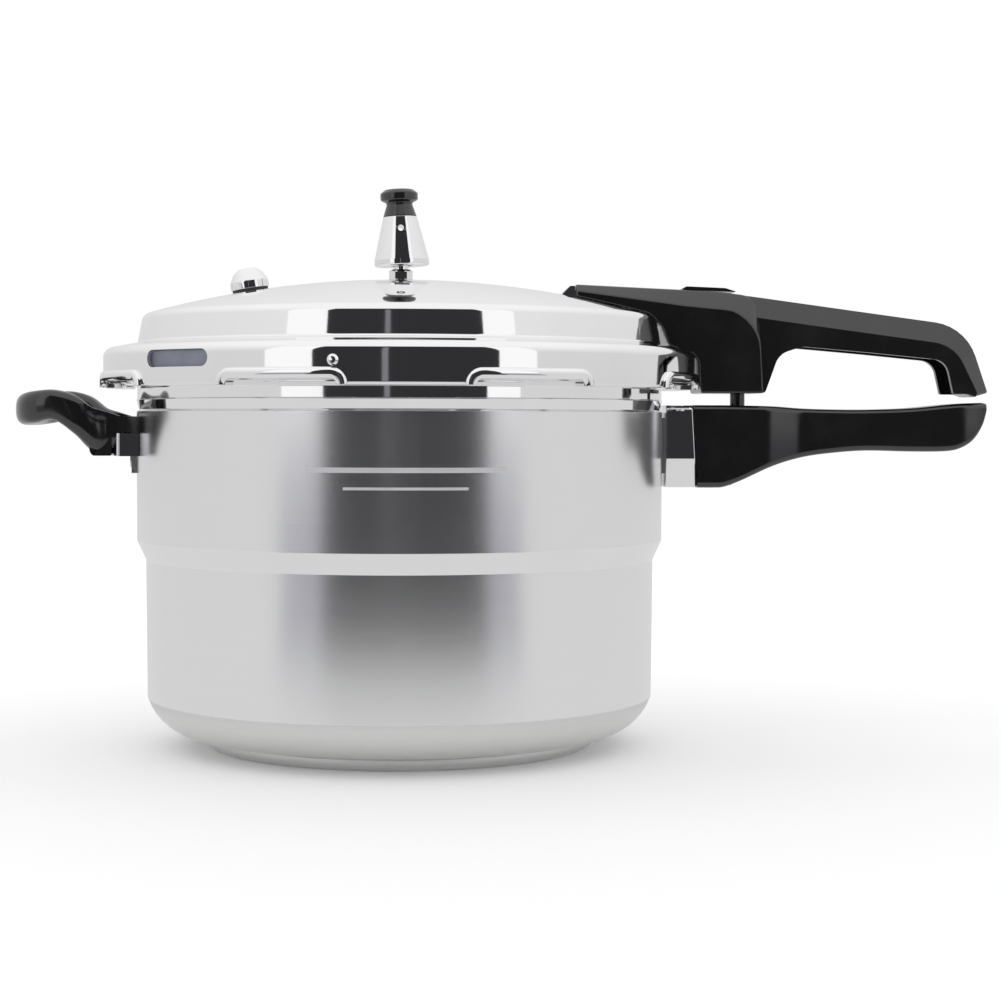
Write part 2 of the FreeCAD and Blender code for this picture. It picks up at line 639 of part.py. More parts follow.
def make_stop_rivet():
    body = new_body("stop_rivet")
    skin = size("skirt_radius")
    revolve(body, "turned", [(0, skin - 1.95), (1.5, skin - 1.95), (1.5, skin + 0.05), (2.4, skin + 0.05),
                             (2.4, skin + 0.5), (1.4, skin + 1.3), (0, skin + 1.5)])
    azimuth = SIZES["stop_rivet_angle"] - 90.0
    turn = Rotation(Z_AXIS, azimuth).multiply(Rotation(Y_AXIS, 90))
    body.Placement = FreeCAD.Placement(Vector(0, 0, SIZES["stop_rivet_height"]), turn)


# ---------------------------------------------------------------- vent and weight
def make_vent():
    top = size("dome_top_height")
    radius = size("vent_radius")
    pipe = new_body("vent_pipe")
    revolve(pipe, "turned", [
        (size("vent_bore"), top - 11.0), (radius, top - 11.0), (radius, top + 0.7),
        (5.8, top + 0.7), (5.8, top + 4.6), (4.6, top + 5.4), (radius - 0.4, top + 5.4),
        (radius - 0.4, size("vent_top_height") - 1.5), (radius - 1.6, size("vent_top_height")),
        (size("vent_bore"), size("vent_top_height"))])
    flats = new_sketch(pipe, "flats_outline", "XY_Plane",
                       FreeCAD.Placement(Vector(0, 0, top.value + 0.9), Rotation()))
    hexagon = [(5.5 * math.cos(math.radians(60 * k)), 5.5 * math.sin(math.radians(60 * k))) for k in range(6)]
    draw_outline(flats, hexagon)
    rim = flats.addGeometry(Part.Circle(Vector(), Z_AXIS, 8.0), False)
    flats.addConstraint(Sketcher.Constraint("Radius", rim, 8.0))
    flats.addConstraint(Sketcher.Constraint("Coincident", rim, 3, -1, 1))
    feature(pipe, "Pocket", "flats", flats, Length=as_size(3.4), Reversed=True)

    washer = new_body("vent_washer")
    revolve(washer, "turned", [(radius + 0.1, top + 0.05), (7.0, top + 0.05), (7.0, top + 0.65),
                               (radius + 0.1, top + 0.65)])
    nut = new_body("vent_nut")
    inner = top - size("lid_thickness")
    slab(nut, "Pad", "hexagon", [(7.4 * math.cos(math.radians(60 * k)), 7.4 * math.sin(math.radians(60 * k)))
                                 for k in range(6)], inner - 4.1, inner - 0.1)
    drill(nut, "bore", radius + 0.02, inner - 6.0, inner + 1.0)
    guard = new_body("vent_guard")
    revolve(guard, "cup", [(0, inner - 10.6), (6.2, inner - 10.6), (6.2, inner - 4.3), (4.2, inner - 4.3),
                           (4.2, inner - 5.3), (5.2, inner - 5.3), (5.2, inner - 9.7), (0, inner - 9.7)])
    hole = drill(guard, "side_hole", 0.9, 3.0, 8.0, (0, inner - 7.5), "XZ_Plane", (Y_AXIS, 0))
    pattern(guard, "side_holes", [hole])


def make_weight():
    tilt = -size("weight_tilt")
    body = new_body("weight_body")
    revolve(body, "turned", [
        (size("weight_bore"), size("weight_foot_height")),
        (size("weight_foot_radius") - 0.8, size("weight_foot_height")),
        (size("weight_foot_radius"), size("weight_foot_height") + 0.8),
        (size("weight_foot_radius"), size("weight_edge_height")),
        (size("weight_top_radius"), size("weight_top_height")),
        (4.05, size("weight_top_height")), (4.05, size("weight_top_height") - 3.3),
        (0, size("weight_top_height") - 3.3), (0, size("weight_bore_height")),
        (size("weight_bore"), size("weight_bore_height"))])
    drill(body, "pin_hole", size("weight_pin_radius") + 0.02, -20, 20, (0, size("weight_pin_height")),
          "XZ_Plane")
    pin = new_body("weight_pin")
    reach = 9.75
    ring = circle_sketch(pin, "tube_circle", size("weight_pin_radius"), (0, size("weight_pin_height")),
                         "XZ_Plane")
    feature(pin, "Pad", "tube", ring, Length=as_size(reach * 2.0), Midplane=True)
    drill(pin, "bore", size("weight_pin_radius") - 0.7, -20, 20, (0, size("weight_pin_height")), "XZ_Plane")
    knob = new_body("weight_knob")
    top = size("knob_top_height")
    spigot = size("weight_top_height") - 3.2
    revolve(knob, "turned", [
        (0, spigot), (4.0, spigot), (4.0, size("weight_top_height") + 0.05),
        (size("weight_top_radius"), size("weight_top_height") + 0.05), (size("knob_neck_radius"), top - 7.0),
        (size("knob_neck_radius") + 0.1, top - 6.2), (size("knob_radius"), top - 5.4),
        (size("knob_radius"), top - 2.0), (size("knob_radius") - 2.0, top), (0, top)])
    for height, radius in ((top.value - 5.4, 1.4), (top.value - 2.0, 1.6)):
        round_edges(knob, f"round_{int(height)}", radius, circle_at(SIZES["knob_radius"], height))
    for piece in (body, pin, knob):
        pivot = SIZES["weight_bore_height"]
        turn = Rotation(Y_AXIS, tilt.value)
        shift = Vector(0, 0, pivot) - turn.multVec(Vector(0, 0, pivot))
        piece.Placement = FreeCAD.Placement(shift, turn)


# ---------------------------------------------------------------- safety valve
def make_safety_valve():
    skin = dome_skin
    stem = size("safety_stem")
    under = skin - size("lid_thickness")
    gasket = new_body("safety_gasket")
    revolve(gasket, "ring", [(stem + 0.1, skin + 0.08), (8.3, skin + 0.08),
                             (8.3, skin + size("safety_gasket")), (stem + 0.1, skin + size("safety_gasket"))])
    bush = new_body("safety_bush")
    revolve(bush, "turned", [(2.45, under - 2.6), (8.0, under - 2.6), (8.0, under - 0.08),
                             (stem, under - 0.08), (stem, skin + 5.0), (2.45, skin + 5.0)])
    cap = new_body("safety_cap")
    foot = skin + size("safety_gasket") + 0.05
    crown = skin + size("safety_height")
    revolve(cap, "turned", [(stem + 0.03, foot), (size("safety_radius"), foot),
                            (size("safety_radius"), foot + 3.2), (size("safety_radius") - 2.2, foot + 7.4),
                            (size("safety_radius") - 5.0, crown - 0.3), (1.1, crown), (1.1, crown - 1.4),
                            (3.75, crown - 1.4), (3.75, skin + 5.3), (stem + 0.03, skin + 5.3)])
    round_edges(cap, "shoulder", 2.0, circle_at(SIZES["safety_radius"], foot.value + 3.2))
    round_edges(cap, "brow", 2.0, circle_at(SIZES["safety_radius"] - 2.2, foot.value + 7.4))
    piston = new_body("safety_piston")
    revolve(piston, "turned", [(0, under - 1.8), (2.4, under - 1.8), (2.4, skin + 5.12), (3.6, skin + 5.12),
                               (3.6, skin + 6.0), (1.6, skin + 6.0), (1.6, skin + 6.8), (0, skin + 6.8)])
    for piece in (gasket, bush, cap, piston):
        place(piece, dome_centre, Y_AXIS, size("safety_angle"))
    make_safety_spring()


def make_safety_spring():
    """A stack of dished discs in one piece, between the plug's shoulder and the cap."""
    body = new_body("safety_spring")
    foot = dome_skin + 6.25
    discs = 4
    rise = (size("safety_height") - 7.9) * (1.0 / discs)
    middles = [(2.25 if number % 2 else 3.2, foot + rise * number) for number in range(discs + 1)]
    outside = [(reach + 0.25, height) for reach, height in middles]
    inside = [(reach - 0.25, height) for reach, height in reversed(middles)]
    revolve(body, "discs", outside + inside)
    place(body, dome_centre, Y_AXIS, size("safety_angle"))


# ---------------------------------------------------------------- upper handle
def make_upper_handle():
    body = new_body("upper_handle")
    foot = size("block_foot_height")
    width = size("hood_half_width")
    sections = []
    for name, where, half, flat, crease, top in (
            ("front", size("hood_front"), width - 5.0, 8.0, 212.0, 215.5),
            ("back", size("hood_back"), width, 9.5, 203.4, 212.2)):
        offset = FreeCAD.Placement(Vector(0, 0, where.value), Rotation())
        sections.append(outline_sketch(body, f"{name}_section", [
            (-half, foot), (half, foot), (half, crease), (flat, top), (-flat, top), (-half, crease)],
            role="YZ_Plane", offset=offset))
    loft = body.newObject("PartDesign::AdditiveLoft", "upper_handle_hood")
    loft.Profile = sections[0]
    loft.Sections = [sections[1]]
    loft.Ruled = True
    body.Tip = loft
    doc.recompute()
    back = size("hood_back")
    end = size("block_end")
    pad(body, "block", [(back - 1.0, foot), (end, foot), (end, 181.0), (163.5, 193.5), (back, 203.4),
                        (back - 1.0, 203.4)], width)
    round_edges(body, "block_corner", 14.0, across_at((end.value, 181.0), (163.5, 193.5)))
    pad(body, "arm", [
        (back - 1.0, 212.3), (262.0, 198.4), (size("handle_end"), 165.2), (274.2, 162.6), (267.0, 164.4),
        (260.0, 164.4), (256.6, 180.4), (193.0, 186.3), (173.0, 186.3), (170.4, foot), (back - 1.0, foot)],
        size("arm_half_width"))
    round_edges(body, "arm_end", 17.0, across_at((262.0, 198.4)))
    round_edges(body, "arm_inner_end", 6.0, across_at((256.6, 180.4)))
    round_edges(body, "arm_root", 10.0, across_at((173.0, 186.3)))

    def top_edges(edge):
        ends = [vertex.Point for vertex in edge.Vertexes]
        if len(ends) != 2 or edge.Length < 8:
            return False
        on_side = min(abs(end.y) for end in ends) > SIZES["arm_half_width"] - 0.1
        slender = max(abs(end.y) for end in ends) < SIZES["arm_half_width"] + 0.1
        middle = edge.valueAt(0.5 * (edge.FirstParameter + edge.LastParameter))
        return on_side and slender and middle.x > 170 and middle.z > 188
    round_edges(body, "arm_top", 3.6, top_edges, "Chamfer")
    cut(body, "arm_channel", [(186.0, 158.0), (186.0, 203.4), (258.5, 194.2), (273.0, 166.0), (273.0, 158.0)],
        size("arm_half_width") - 3.6)
    cut(body, "block_cavity", [(124.0, 160.0), (124.0, 205.9), (148.0, 205.9), (152.0, 197.0),
                               (159.0, 190.0), (165.0, 180.0), (165.0, 160.0)], width - 5.0)
    lid_gap = 0.35
    revolve(body, "lid_clearance", [
        (30.0, 140.0), (size("skirt_radius") + 0.9, 140.0),
        (size("skirt_radius") + 0.9, size("skirt_top_height") - 3.0),
        (size("skirt_radius") - 3.2, size("skirt_top_height") + 1.2),
        (size("dome_foot_radius") + 1.2, size("dome_foot_height") + 0.6),
        (size("dome_edge_radius") + 0.6, dome_height(119.5) - 0.5),
        (size("dome_edge_radius") - 4.0, FreeSize(dome_height(115.5) + lid_gap)),
        (30.0, FreeSize(dome_height(30.0) + lid_gap))],
        arcs={6: (0, dome_centre)}, kind="Groove")
    cut(body, "button_slot", [(137.4, 200.0), (150.0, 200.0), (150.0, 216.0), (137.4, 216.0)], 3.2)
    slab(body, "Pocket", "post_way", [(151.0, 10.0), (167.0, 10.0), (167.0, 25.0), (151.0, 25.0)],
         160.0, 171.6)
    cut(body, "tongue_slot", [(70.0, 200.0), (98.4, 200.0), (98.4, 207.9), (83.4, 212.3), (70.0, 216.0)],
        9.2)
    for name, alias, radius, depth in (("near_insert", "screw_angle_near", 2.8, 5.6),
                                       ("far_insert", "screw_angle_far", 2.8, 6.4),
                                       ("float_well", "float_angle", 3.0, 6.2)):
        low = FreeCAD.Placement(Vector(0, 0, dome_centre.value), Rotation(Y_AXIS, SIZES[alias]))
        circle = circle_sketch(body, name + "_circle", radius, offset=low)
        circle.setExpression("AttachmentOffset.Rotation.Angle", f"Sizes.{alias} * 1 deg")
        feature(body, "Pocket", name, circle, Length=dome_skin + depth, Reversed=True)


def make_lid_tongue():
    """Polished strip on the dome that the upper handle hooks over; its nose shows at the front."""
    body = new_body("lid_tongue")
    pad(body, "strip", [(75.4, 206.0), (75.4, 211.0), (79.0, 214.6), (81.2, 214.6), (81.2, 212.6),
                        (96.0, 208.1), (96.0, 200.0)], 9.0)
    revolve(body, "dome_fit", [(0, 150), (130, 150), (130, FreeSize(dome_height(130) + 0.1)),
                               (0, dome_centre + dome_skin + 0.1)], arcs={2: (0, dome_centre)}, kind="Groove")
    low = FreeCAD.Placement(Vector(0, 0, dome_centre.value), Rotation(Y_AXIS, SIZES["screw_angle_near"]))
    circle = circle_sketch(body, "screw_hole_circle", 3.0, offset=low)
    feature(body, "Pocket", "screw_hole", circle, Length=500.0, Reversed=True)


def make_dome_pair(label, profile, aliases):
    """The same turned piece at several places on the dome, joined as one group of solids."""
    copies = []
    for number, alias in enumerate(aliases, start=1):
        single = doc.addObject("PartDesign::Body", f"{label}_{number}")
        revolve(single, "turned", profile)
        place(single, dome_centre, Y_AXIS, size(alias))
        copies.append(single)
    group = doc.addObject("Part::MultiFuse", label)
    group.Shapes = copies
    group.Label = label
    pieces.append(group)


def make_upper_handle_fasteners():
    skin = dome_skin
    under = skin - size("lid_thickness")
    near_far = ("screw_angle_near", "screw_angle_far")
    make_dome_pair("upper_handle_inserts", [(2.02, skin + 0.45), (2.75, skin + 0.45), (2.75, skin + 5.4),
                                            (2.02, skin + 5.4)], near_far)
    make_dome_pair("upper_handle_screws", [(0, under - 2.4), (3.4, under - 2.4), (4.0, under - 1.7),
                                           (4.0, under - 0.08), (2.0, under - 0.08), (2.0, skin + 5.0),
                                           (0, skin + 5.0)], near_far)


def make_float_valve():
    skin = dome_skin
    under = skin - size("lid_thickness")
    bush = new_body("float_bush")
    revolve(bush, "grommet", [(1.95, under - 1.6), (5.4, under - 1.6), (5.4, under - 0.08),
                              (4.0, under - 0.08), (4.0, skin + 0.2), (1.95, skin + 0.2)])
    pin = new_body("float_pin")
    revolve(pin, "turned", [(0, under - 5.4), (3.2, under - 5.4), (3.2, under - 4.6), (1.9, under - 4.6),
                            (1.9, skin + 2.4), (1.3, skin + 3.0), (0, skin + 3.0)])
    for piece in (bush, pin):
        place(piece, dome_centre, Y_AXIS, size("float_angle"))


def make_lock():
    button = new_body("lock_button")
    pad(button, "cap", [(131.2, 213.15), (134.0, 214.9), (152.5, 214.2), (158.8, 212.4), (158.8, 211.9),
                        (151.0, 212.55)], 7.0)
    slab(button, "Pad", "stem", [(138.0, -3.0), (143.8, -3.0), (143.8, 3.0), (138.0, 3.0)], 205.5, 213.2)
    slide = new_body("lock_slide")
    slab(slide, "Pad", "plate", [(128.0, -9.0), (143.8, -9.0), (143.8, 9.0), (128.0, 9.0)], 203.0, 205.4)
    slab(slide, "Pad", "leg", [(139.2, 5.0), (143.8, 5.0), (143.8, 9.0), (139.2, 9.0)], 166.5, 204.0)


make_base_plate()
make_pot_shell()
long_bracket = make_bracket("long_bracket", 0.0, 127.0, 153.0, 14.0, 166.0, 10.0, 137.0, 143.0)
drill(long_bracket, "screw_way", 2.15, 130.0, 150.0, (size("handle_screw_place"), 0))
make_rivets("long_bracket_rivets", 0.0)
make_long_ferrule()
make_lower_handle()
make_screw("lower_handle_screw", SIZES["handle_screw_place"], 0.0, 121.2, 2.2, 4.1, 2.05, 142.0)
make_lock_post()
make_bracket("helper_bracket", 180.0, 127.0, 153.0, 14.0, 138.0, 15.0, 138.0, 143.0)
make_rivets("helper_bracket_rivets", 180.0)
make_helper_ferrule()
make_helper_handle()
make_lid_shell()
make_sealing_ring()
make_stop_rivet()
make_vent()
make_weight()
make_safety_valve()
make_upper_handle()
make_lid_tongue()
make_upper_handle_fasteners()
make_float_valve()
make_lock()

doc.recompute()
faults = [thing.Name for thing in doc.Objects if "Invalid" in thing.State or "Error" in thing.State]
faults += [piece.Label for piece in pieces if piece.Shape.isNull() or not piece.Shape.isValid()]
if faults:
    raise RuntimeError("Failed objects: " + ", ".join(faults))

os.makedirs("parts", exist_ok=True)
for piece in pieces:
    piece.Shape.exportStep(f"parts/{piece.Label}.step")
    print(piece.Label, len(piece.Shape.Solids), round(piece.Shape.Volume, 1))
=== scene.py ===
"""Stovetop pressure cooker: polished and brushed metal skins, black grips, and the studio around them.

Metres, +Z up, origin at the centre of the base's underside, +X along the long handles.
The CAD frame gives every place; each operator makes one piece or one group of like pieces.
"""
import math

import bmesh
import bpy
from mathutils import Matrix, Vector


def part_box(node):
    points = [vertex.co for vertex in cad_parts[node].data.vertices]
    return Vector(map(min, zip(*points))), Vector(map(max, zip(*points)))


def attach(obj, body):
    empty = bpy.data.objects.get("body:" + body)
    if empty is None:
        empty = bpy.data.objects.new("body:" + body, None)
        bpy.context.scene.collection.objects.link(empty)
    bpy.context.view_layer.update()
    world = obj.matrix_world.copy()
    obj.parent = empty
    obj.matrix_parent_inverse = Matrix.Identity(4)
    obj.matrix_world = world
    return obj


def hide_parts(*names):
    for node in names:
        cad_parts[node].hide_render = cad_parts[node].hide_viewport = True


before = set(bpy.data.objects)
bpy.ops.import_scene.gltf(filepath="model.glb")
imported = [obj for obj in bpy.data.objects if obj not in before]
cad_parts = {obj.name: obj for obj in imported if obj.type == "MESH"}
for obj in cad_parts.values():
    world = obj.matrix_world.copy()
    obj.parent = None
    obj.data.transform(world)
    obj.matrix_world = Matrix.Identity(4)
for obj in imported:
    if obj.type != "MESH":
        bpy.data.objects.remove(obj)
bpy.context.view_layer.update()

bl_info = {
    "name": "Pressure cooker studio",
    "version": (1, 0, 0),
    "blender": (4, 5, 0),
    "location": "View3D > Sidebar > Cooker",
    "description": "Builds the cooker's turned skins, its finishes and its studio",
    "category": "Object",
}

MM = 0.001
FULL_TURN = 2.0 * math.pi
LUG_COUNT = 8
LUG_STEP = FULL_TURN / LUG_COUNT
STEP_HEIGHT = 0.0966
INSIDE_FLOOR = 0.0095
BEAD_FOOT = 0.1556
SKIRT_RADIUS = 0.1376
LUG_INNER_RADIUS = 0.1285
SQUARENESS = 0.72
HOOD_START = 81.6
HOOD_FULL_WIDTH = 151.0
CAMERA_PLACE = (-0.01788, -1.01863, 0.1514)
CAMERA_TURN, CAMERA_PITCH, CAMERA_ROLL = -3.65, 90.0 - 2.108, 0.14
CAMERA_LENS = 77.75


# ---------------------------------------------------------------- sizes and colours
class CookerSizes(bpy.types.PropertyGroup):
    """Sizes of the turned skins, read from the frame where it holds them."""

    def length(name, description, default):
        return bpy.props.FloatProperty(
            name=name, description=description, default=default, unit="LENGTH", precision=5)

    mouth_radius: length("Mouth radius", "Inside radius of the pot's mouth", 0.1200)
    wall_radius: length("Upper wall radius", "Outside radius of the wall above the step", 0.1225)
    waist_radius: length("Lower wall radius", "Outside radius of the wall below the step", 0.1184)
    foot_radius: length("Wall foot radius", "Outside radius where the wall meets the shoulder", 0.1179)
    wall_thickness: length("Wall thickness", "Thickness of the pot's wall", 0.0025)
    dome_radius: length("Dome radius", "Radius of the sphere that the dome is part of", 0.430)
    dome_edge: length("Dome edge", "Distance from the axis to the edge of the dome", 0.1195)
    lid_thickness: length("Lid thickness", "Thickness of the lid's metal", 0.0020)
    notch_height: length("Notch height", "Height of the top of the gaps between the lid's lugs", 0.1700)
    bead_radius: length("Bead radius", "Radius of the rolled bead round each gap", 0.00185)
    grain_depth: length("Grain depth", "Depth of the brushing on the wall", 0.00002)


class CookerColours(bpy.types.PropertyGroup):
    """Base colours of the finishes."""

    def colour(name, description, default):
        return bpy.props.FloatVectorProperty(
            name=name, description=description, default=default, subtype="COLOR", min=0.0, max=1.0)

    aluminium: colour("Aluminium", "Polished and brushed aluminium", (0.90, 0.90, 0.905))
    chrome: colour("Chrome", "Chromed steel", (0.88, 0.88, 0.89))
    satin: colour("Satin metal", "Matt underside and shoulder", (0.74, 0.74, 0.735))
    steel: colour("Plated steel", "Brackets, screws and nuts", (0.62, 0.62, 0.61))
    brass: colour("Brass", "Valve fittings", (0.78, 0.60, 0.30))
    phenolic: colour("Black phenolic", "Grips, hood and knob", (0.0065, 0.0065, 0.007))
    seal: colour("Seal rubber", "Grey silicone of the sealing ring", (0.17, 0.18, 0.23))
    gasket: colour("Gasket rubber", "Black rubber of the small gaskets", (0.03, 0.03, 0.033))
    floor: colour("Floor", "Plain pale floor", (0.97, 0.97, 0.97))


# ---------------------------------------------------------------- mesh helpers
def rounded(corners, steps=6):
    """Outline points from (r, z, radius) corners; a corner with a radius becomes an arc."""
    count = len(corners)
    outline = []
    for number, (r, z, radius) in enumerate(corners):
        corner = Vector((r, z))
        if radius <= 0.0:
            outline.append(corner)
            continue
        before = Vector(corners[number - 1][:2]) - corner
        after = Vector(corners[(number + 1) % count][:2]) - corner
        half = before.angle(after) / 2.0
        reach = radius / math.tan(half)
        centre = corner + (before.normalized() + after.normalized()).normalized() * (radius / math.sin(half))
        start = corner + before.normalized() * reach - centre
        sweep = start.angle_signed(corner + after.normalized() * reach - centre)
        for step in range(steps + 1):
            turn = -sweep * step / steps
            outline.append(centre + Matrix.Rotation(turn, 2) @ start)
    return outline


def sphere_arc(radius, centre_height, first, last, steps):
    """Corners along a sphere's meridian between two distances from the axis."""
    arc = []
    for step in range(steps + 1):
        reach = first + (last - first) * step / steps
        arc.append((reach, centre_height + math.sqrt(radius * radius - reach * reach), 0.0))
    return arc


def spin_outline(mesh, outline, steps=256, start=0.0, turn=FULL_TURN):
    """Turn an outline of (r, z) points about Z; a part turn is closed by a face at each end."""
    whole = abs(turn - FULL_TURN) < 1e-6
    ring = [mesh.verts.new((point.x * math.cos(start), point.x * math.sin(start), point.y))
            for point in outline]
    edges = [mesh.edges.new((ring[number - 1], ring[number])) for number in range(len(ring))]
    if not whole:
        edges += bmesh.ops.contextual_create(mesh, geom=edges)["faces"]
    bmesh.ops.spin(mesh, geom=ring + edges, cent=(0, 0, 0), axis=(0, 0, 1), dvec=(0, 0, 0),
                   angle=turn, steps=steps, use_merge=whole)


def finish_mesh(name, mesh, materials, sharp=28.0):
    """Clean a bmesh and make a finished object of it."""
    bmesh.ops.remove_doubles(mesh, verts=mesh.verts, dist=1e-6)
    bmesh.ops.dissolve_degenerate(mesh, edges=mesh.edges, dist=1e-7)
    bmesh.ops.recalc_face_normals(mesh, faces=mesh.faces)
    piece = place_mesh(name, mesh)
    for material in materials:
        piece.data.materials.append(material)
    even_normals(piece, sharp)
    return piece


def spread(outline, spacing):
    """Add points to an outline so that no two neighbours are farther apart than the spacing."""
    points = []
    for number, point in enumerate(outline):
        after = outline[(number + 1) % len(outline)]
        parts = max(1, math.ceil((after - point).length / spacing))
        for part in range(parts):
            points.append(point.lerp(after, part / parts))
    return points


def extrude_side(mesh, outline, *halves):
    """Loft one (x, z) outline straight across Y, at the given places in mm."""
    return loft(mesh, [[(point.x, half * MM, point.y) for point in outline] for half in halves])


def loft(mesh, outlines):
    """Bridge closed outlines, each a list of (x, y, z) with the same count; gives the two end faces."""
    loops = []
    for outline in outlines:
        verts = [mesh.verts.new(point) for point in outline]
        loops.append([mesh.edges.new((verts[number - 1], verts[number])) for number in range(len(verts))])
    for first, last in zip(loops, loops[1:]):
        bmesh.ops.bridge_loops(mesh, edges=first + last)
    return [bmesh.ops.edgeloop_fill(mesh, edges=loop)["faces"][0] for loop in (loops[0], loops[-1])]


def soften(mesh, offset, segments, least=25.0, wanted=None):
    """Bevel the edges whose faces meet at more than an angle."""
    bmesh.ops.recalc_face_normals(mesh, faces=mesh.faces)
    edges = [edge for edge in mesh.edges
             if len(edge.link_faces) == 2 and edge.calc_face_angle() > math.radians(least)
             and (wanted is None or wanted(edge))]
    bmesh.ops.bevel(mesh, geom=edges, offset=offset, offset_type="OFFSET", segments=segments, profile=0.5,
                    affect="EDGES", material=-1, clamp_overlap=True, loop_slide=True)


def ease(value, start, end):
    """0 before start, 1 after end and a smooth change between them."""
    share = min(1.0, max(0.0, (value - start) / (end - start)))
    return share * share * (3.0 - 2.0 * share)


def smooth_path(points, steps):
    """Points on a Catmull-Rom curve through all the given rows of numbers."""
    path = []
    last = len(points) - 1
    for number in range(last):
        around = (points[max(0, min(last, number + shift))] for shift in (-1, 0, 1, 2))
        columns = list(zip(*around))
        for share in (step / steps for step in range(steps)):
            path.append([0.5 * (2 * b + (c - a) * share + (2 * a - 5 * b + 4 * c - d) * share ** 2
                                + (3 * b - a - 3 * c + d) * share ** 3) for a, b, c, d in columns])
    path.append(list(points[-1]))
    return path


def place_mesh(name, mesh):
    """Make an object of a bmesh and put it in the scene."""
    data = bpy.data.meshes.new(name)
    mesh.to_mesh(data)
    mesh.free()
    piece = bpy.data.objects.new(name, data)
    bpy.context.scene.collection.objects.link(piece)
    return piece


def even_normals(piece, sharp):
    """Shade a piece smooth between its sharp edges, with large faces kept flat."""
    piece.data.shade_smooth()
    piece.data.set_sharp_from_angle(angle=math.radians(sharp))
    normals = piece.modifiers.new("Even normals", "WEIGHTED_NORMAL")
    normals.keep_sharp = True
    normals.weight = 90


def sizes():
    return bpy.context.scene.cooker_sizes


def colours():
    return bpy.context.scene.cooker_colours


# ---------------------------------------------------------------- shader groups
def feed(tree, value, socket):
    """Link an output to an input, or set the input to a number."""
    if isinstance(value, bpy.types.NodeSocket):
        tree.links.new(value, socket)
    else:
        socket.default_value = value


def math_node(tree, operation, *values):
    """A Math node fed with outputs or numbers; gives its output."""
    node = tree.nodes.new("ShaderNodeMath")
    node.operation = operation
    for value, socket in zip(values, node.inputs):
        feed(tree, value, socket)
    return node.outputs[0]


def noise_node(tree, place, scale, detail, roughness=0.5):
    """A Noise Texture at a place; gives its value."""
    node = tree.nodes.new("ShaderNodeTexNoise")
    for label, value in (("Vector", place), ("Scale", scale), ("Detail", detail), ("Roughness", roughness)):
        feed(tree, value, node.inputs[label])
    return node.outputs["Fac"]


def new_group(name, inputs, outputs):
    """A node group of numbers in and out; gives the group, its inputs, its outputs and the Object place."""
    group = bpy.data.node_groups.new(name, "ShaderNodeTree")
    for label, default in inputs:
        socket = group.interface.new_socket(name=label, in_out="INPUT", socket_type="NodeSocketFloat")
        socket.default_value = default
    for label in outputs:
        group.interface.new_socket(name=label, in_out="OUTPUT", socket_type="NodeSocketFloat")
    given = group.nodes.new("NodeGroupInput").outputs
    wanted = group.nodes.new("NodeGroupOutput").inputs
    place = group.nodes.new("ShaderNodeTexCoord").outputs["Object"]
    return group, given, wanted, place


def hairline_group():
    """Fine brushed lines that run round the axis, as a height and as a roughness change."""
    if "Hairline brushing" in bpy.data.node_groups:
        return bpy.data.node_groups["Hairline brushing"]
    group, given, wanted, place = new_group(
        "Hairline brushing",
        [("Line Density", 900.0), ("Roughness", 0.25), ("Roughness Change", 0.1)],
        ["Height", "Roughness", "Tone"])
    split = group.nodes.new("ShaderNodeSeparateXYZ")
    feed(group, place, split.inputs[0])
    joined = group.nodes.new("ShaderNodeCombineXYZ")
    for axis, density in (("X", 9.0), ("Y", 9.0), ("Z", given["Line Density"])):
        feed(group, math_node(group, "MULTIPLY", split.outputs[axis], density), joined.inputs[axis])
    lines = noise_node(group, joined.outputs[0], 1.0, 5.0, 0.7)
    feed(group, lines, wanted["Height"])
    feed(group, lines, wanted["Tone"])
    feed(group, math_node(group, "MULTIPLY_ADD", lines, given["Roughness Change"], given["Roughness"]),
         wanted["Roughness"])
    return group


def plain_bars_group():
    """One plain line on the front of the wall, as a mask."""
    if "Plain bars" in bpy.data.node_groups:
        return bpy.data.node_groups["Plain bars"]
    group, given, wanted, place = new_group(
        "Plain bars", [("Height", 0.13), ("Thickness", 0.001), ("Half Angle", 0.3)], ["Mask"])
    split = group.nodes.new("ShaderNodeSeparateXYZ")
    feed(group, place, split.inputs[0])
    rise = math_node(group, "COMPARE", split.outputs["Z"], given["Height"], given["Thickness"])
    front = math_node(group, "MULTIPLY", split.outputs["Y"], -1.0)
    turn = math_node(group, "ARCTAN2", split.outputs["X"], front)
    across = math_node(group, "COMPARE", turn, 0.0, given["Half Angle"])
    feed(group, math_node(group, "MULTIPLY", rise, across), wanted["Mask"])
    return group


def handling_group():
    """Faint smears and specks of handling, as a roughness and a height."""
    if "Handling marks" in bpy.data.node_groups:
        return bpy.data.node_groups["Handling marks"]
    group, given, wanted, place = new_group(
        "Handling marks", [("Scale", 40.0), ("Roughness", 0.1), ("Smear", 0.05)],
        ["Roughness", "Height", "Mask"])
    broad = noise_node(group, place, given["Scale"], 3.0)
    fine = noise_node(group, place, math_node(group, "MULTIPLY", given["Scale"], 14.0), 4.0)
    window = group.nodes.new("ShaderNodeMapRange")
    for label, value in (("Value", broad), ("From Min", 0.45), ("From Max", 0.75)):
        feed(group, value, window.inputs[label])
    smears = window.outputs[0]
    feed(group, math_node(group, "MULTIPLY_ADD", smears, given["Smear"], given["Roughness"]),
         wanted["Roughness"])
    feed(group, fine, wanted["Height"])
    feed(group, smears, wanted["Mask"])
    return group


def new_material(name):
    if name in bpy.data.materials:
        return bpy.data.materials[name], None
    material = bpy.data.materials.new(name)
    material.use_nodes = True
    return material, material.node_tree


def add_group(tree, group, **values):
    node = tree.nodes.new("ShaderNodeGroup")
    node.node_tree = group
    for label, value in values.items():
        node.inputs[label.replace("_", " ")].default_value = value
    return node


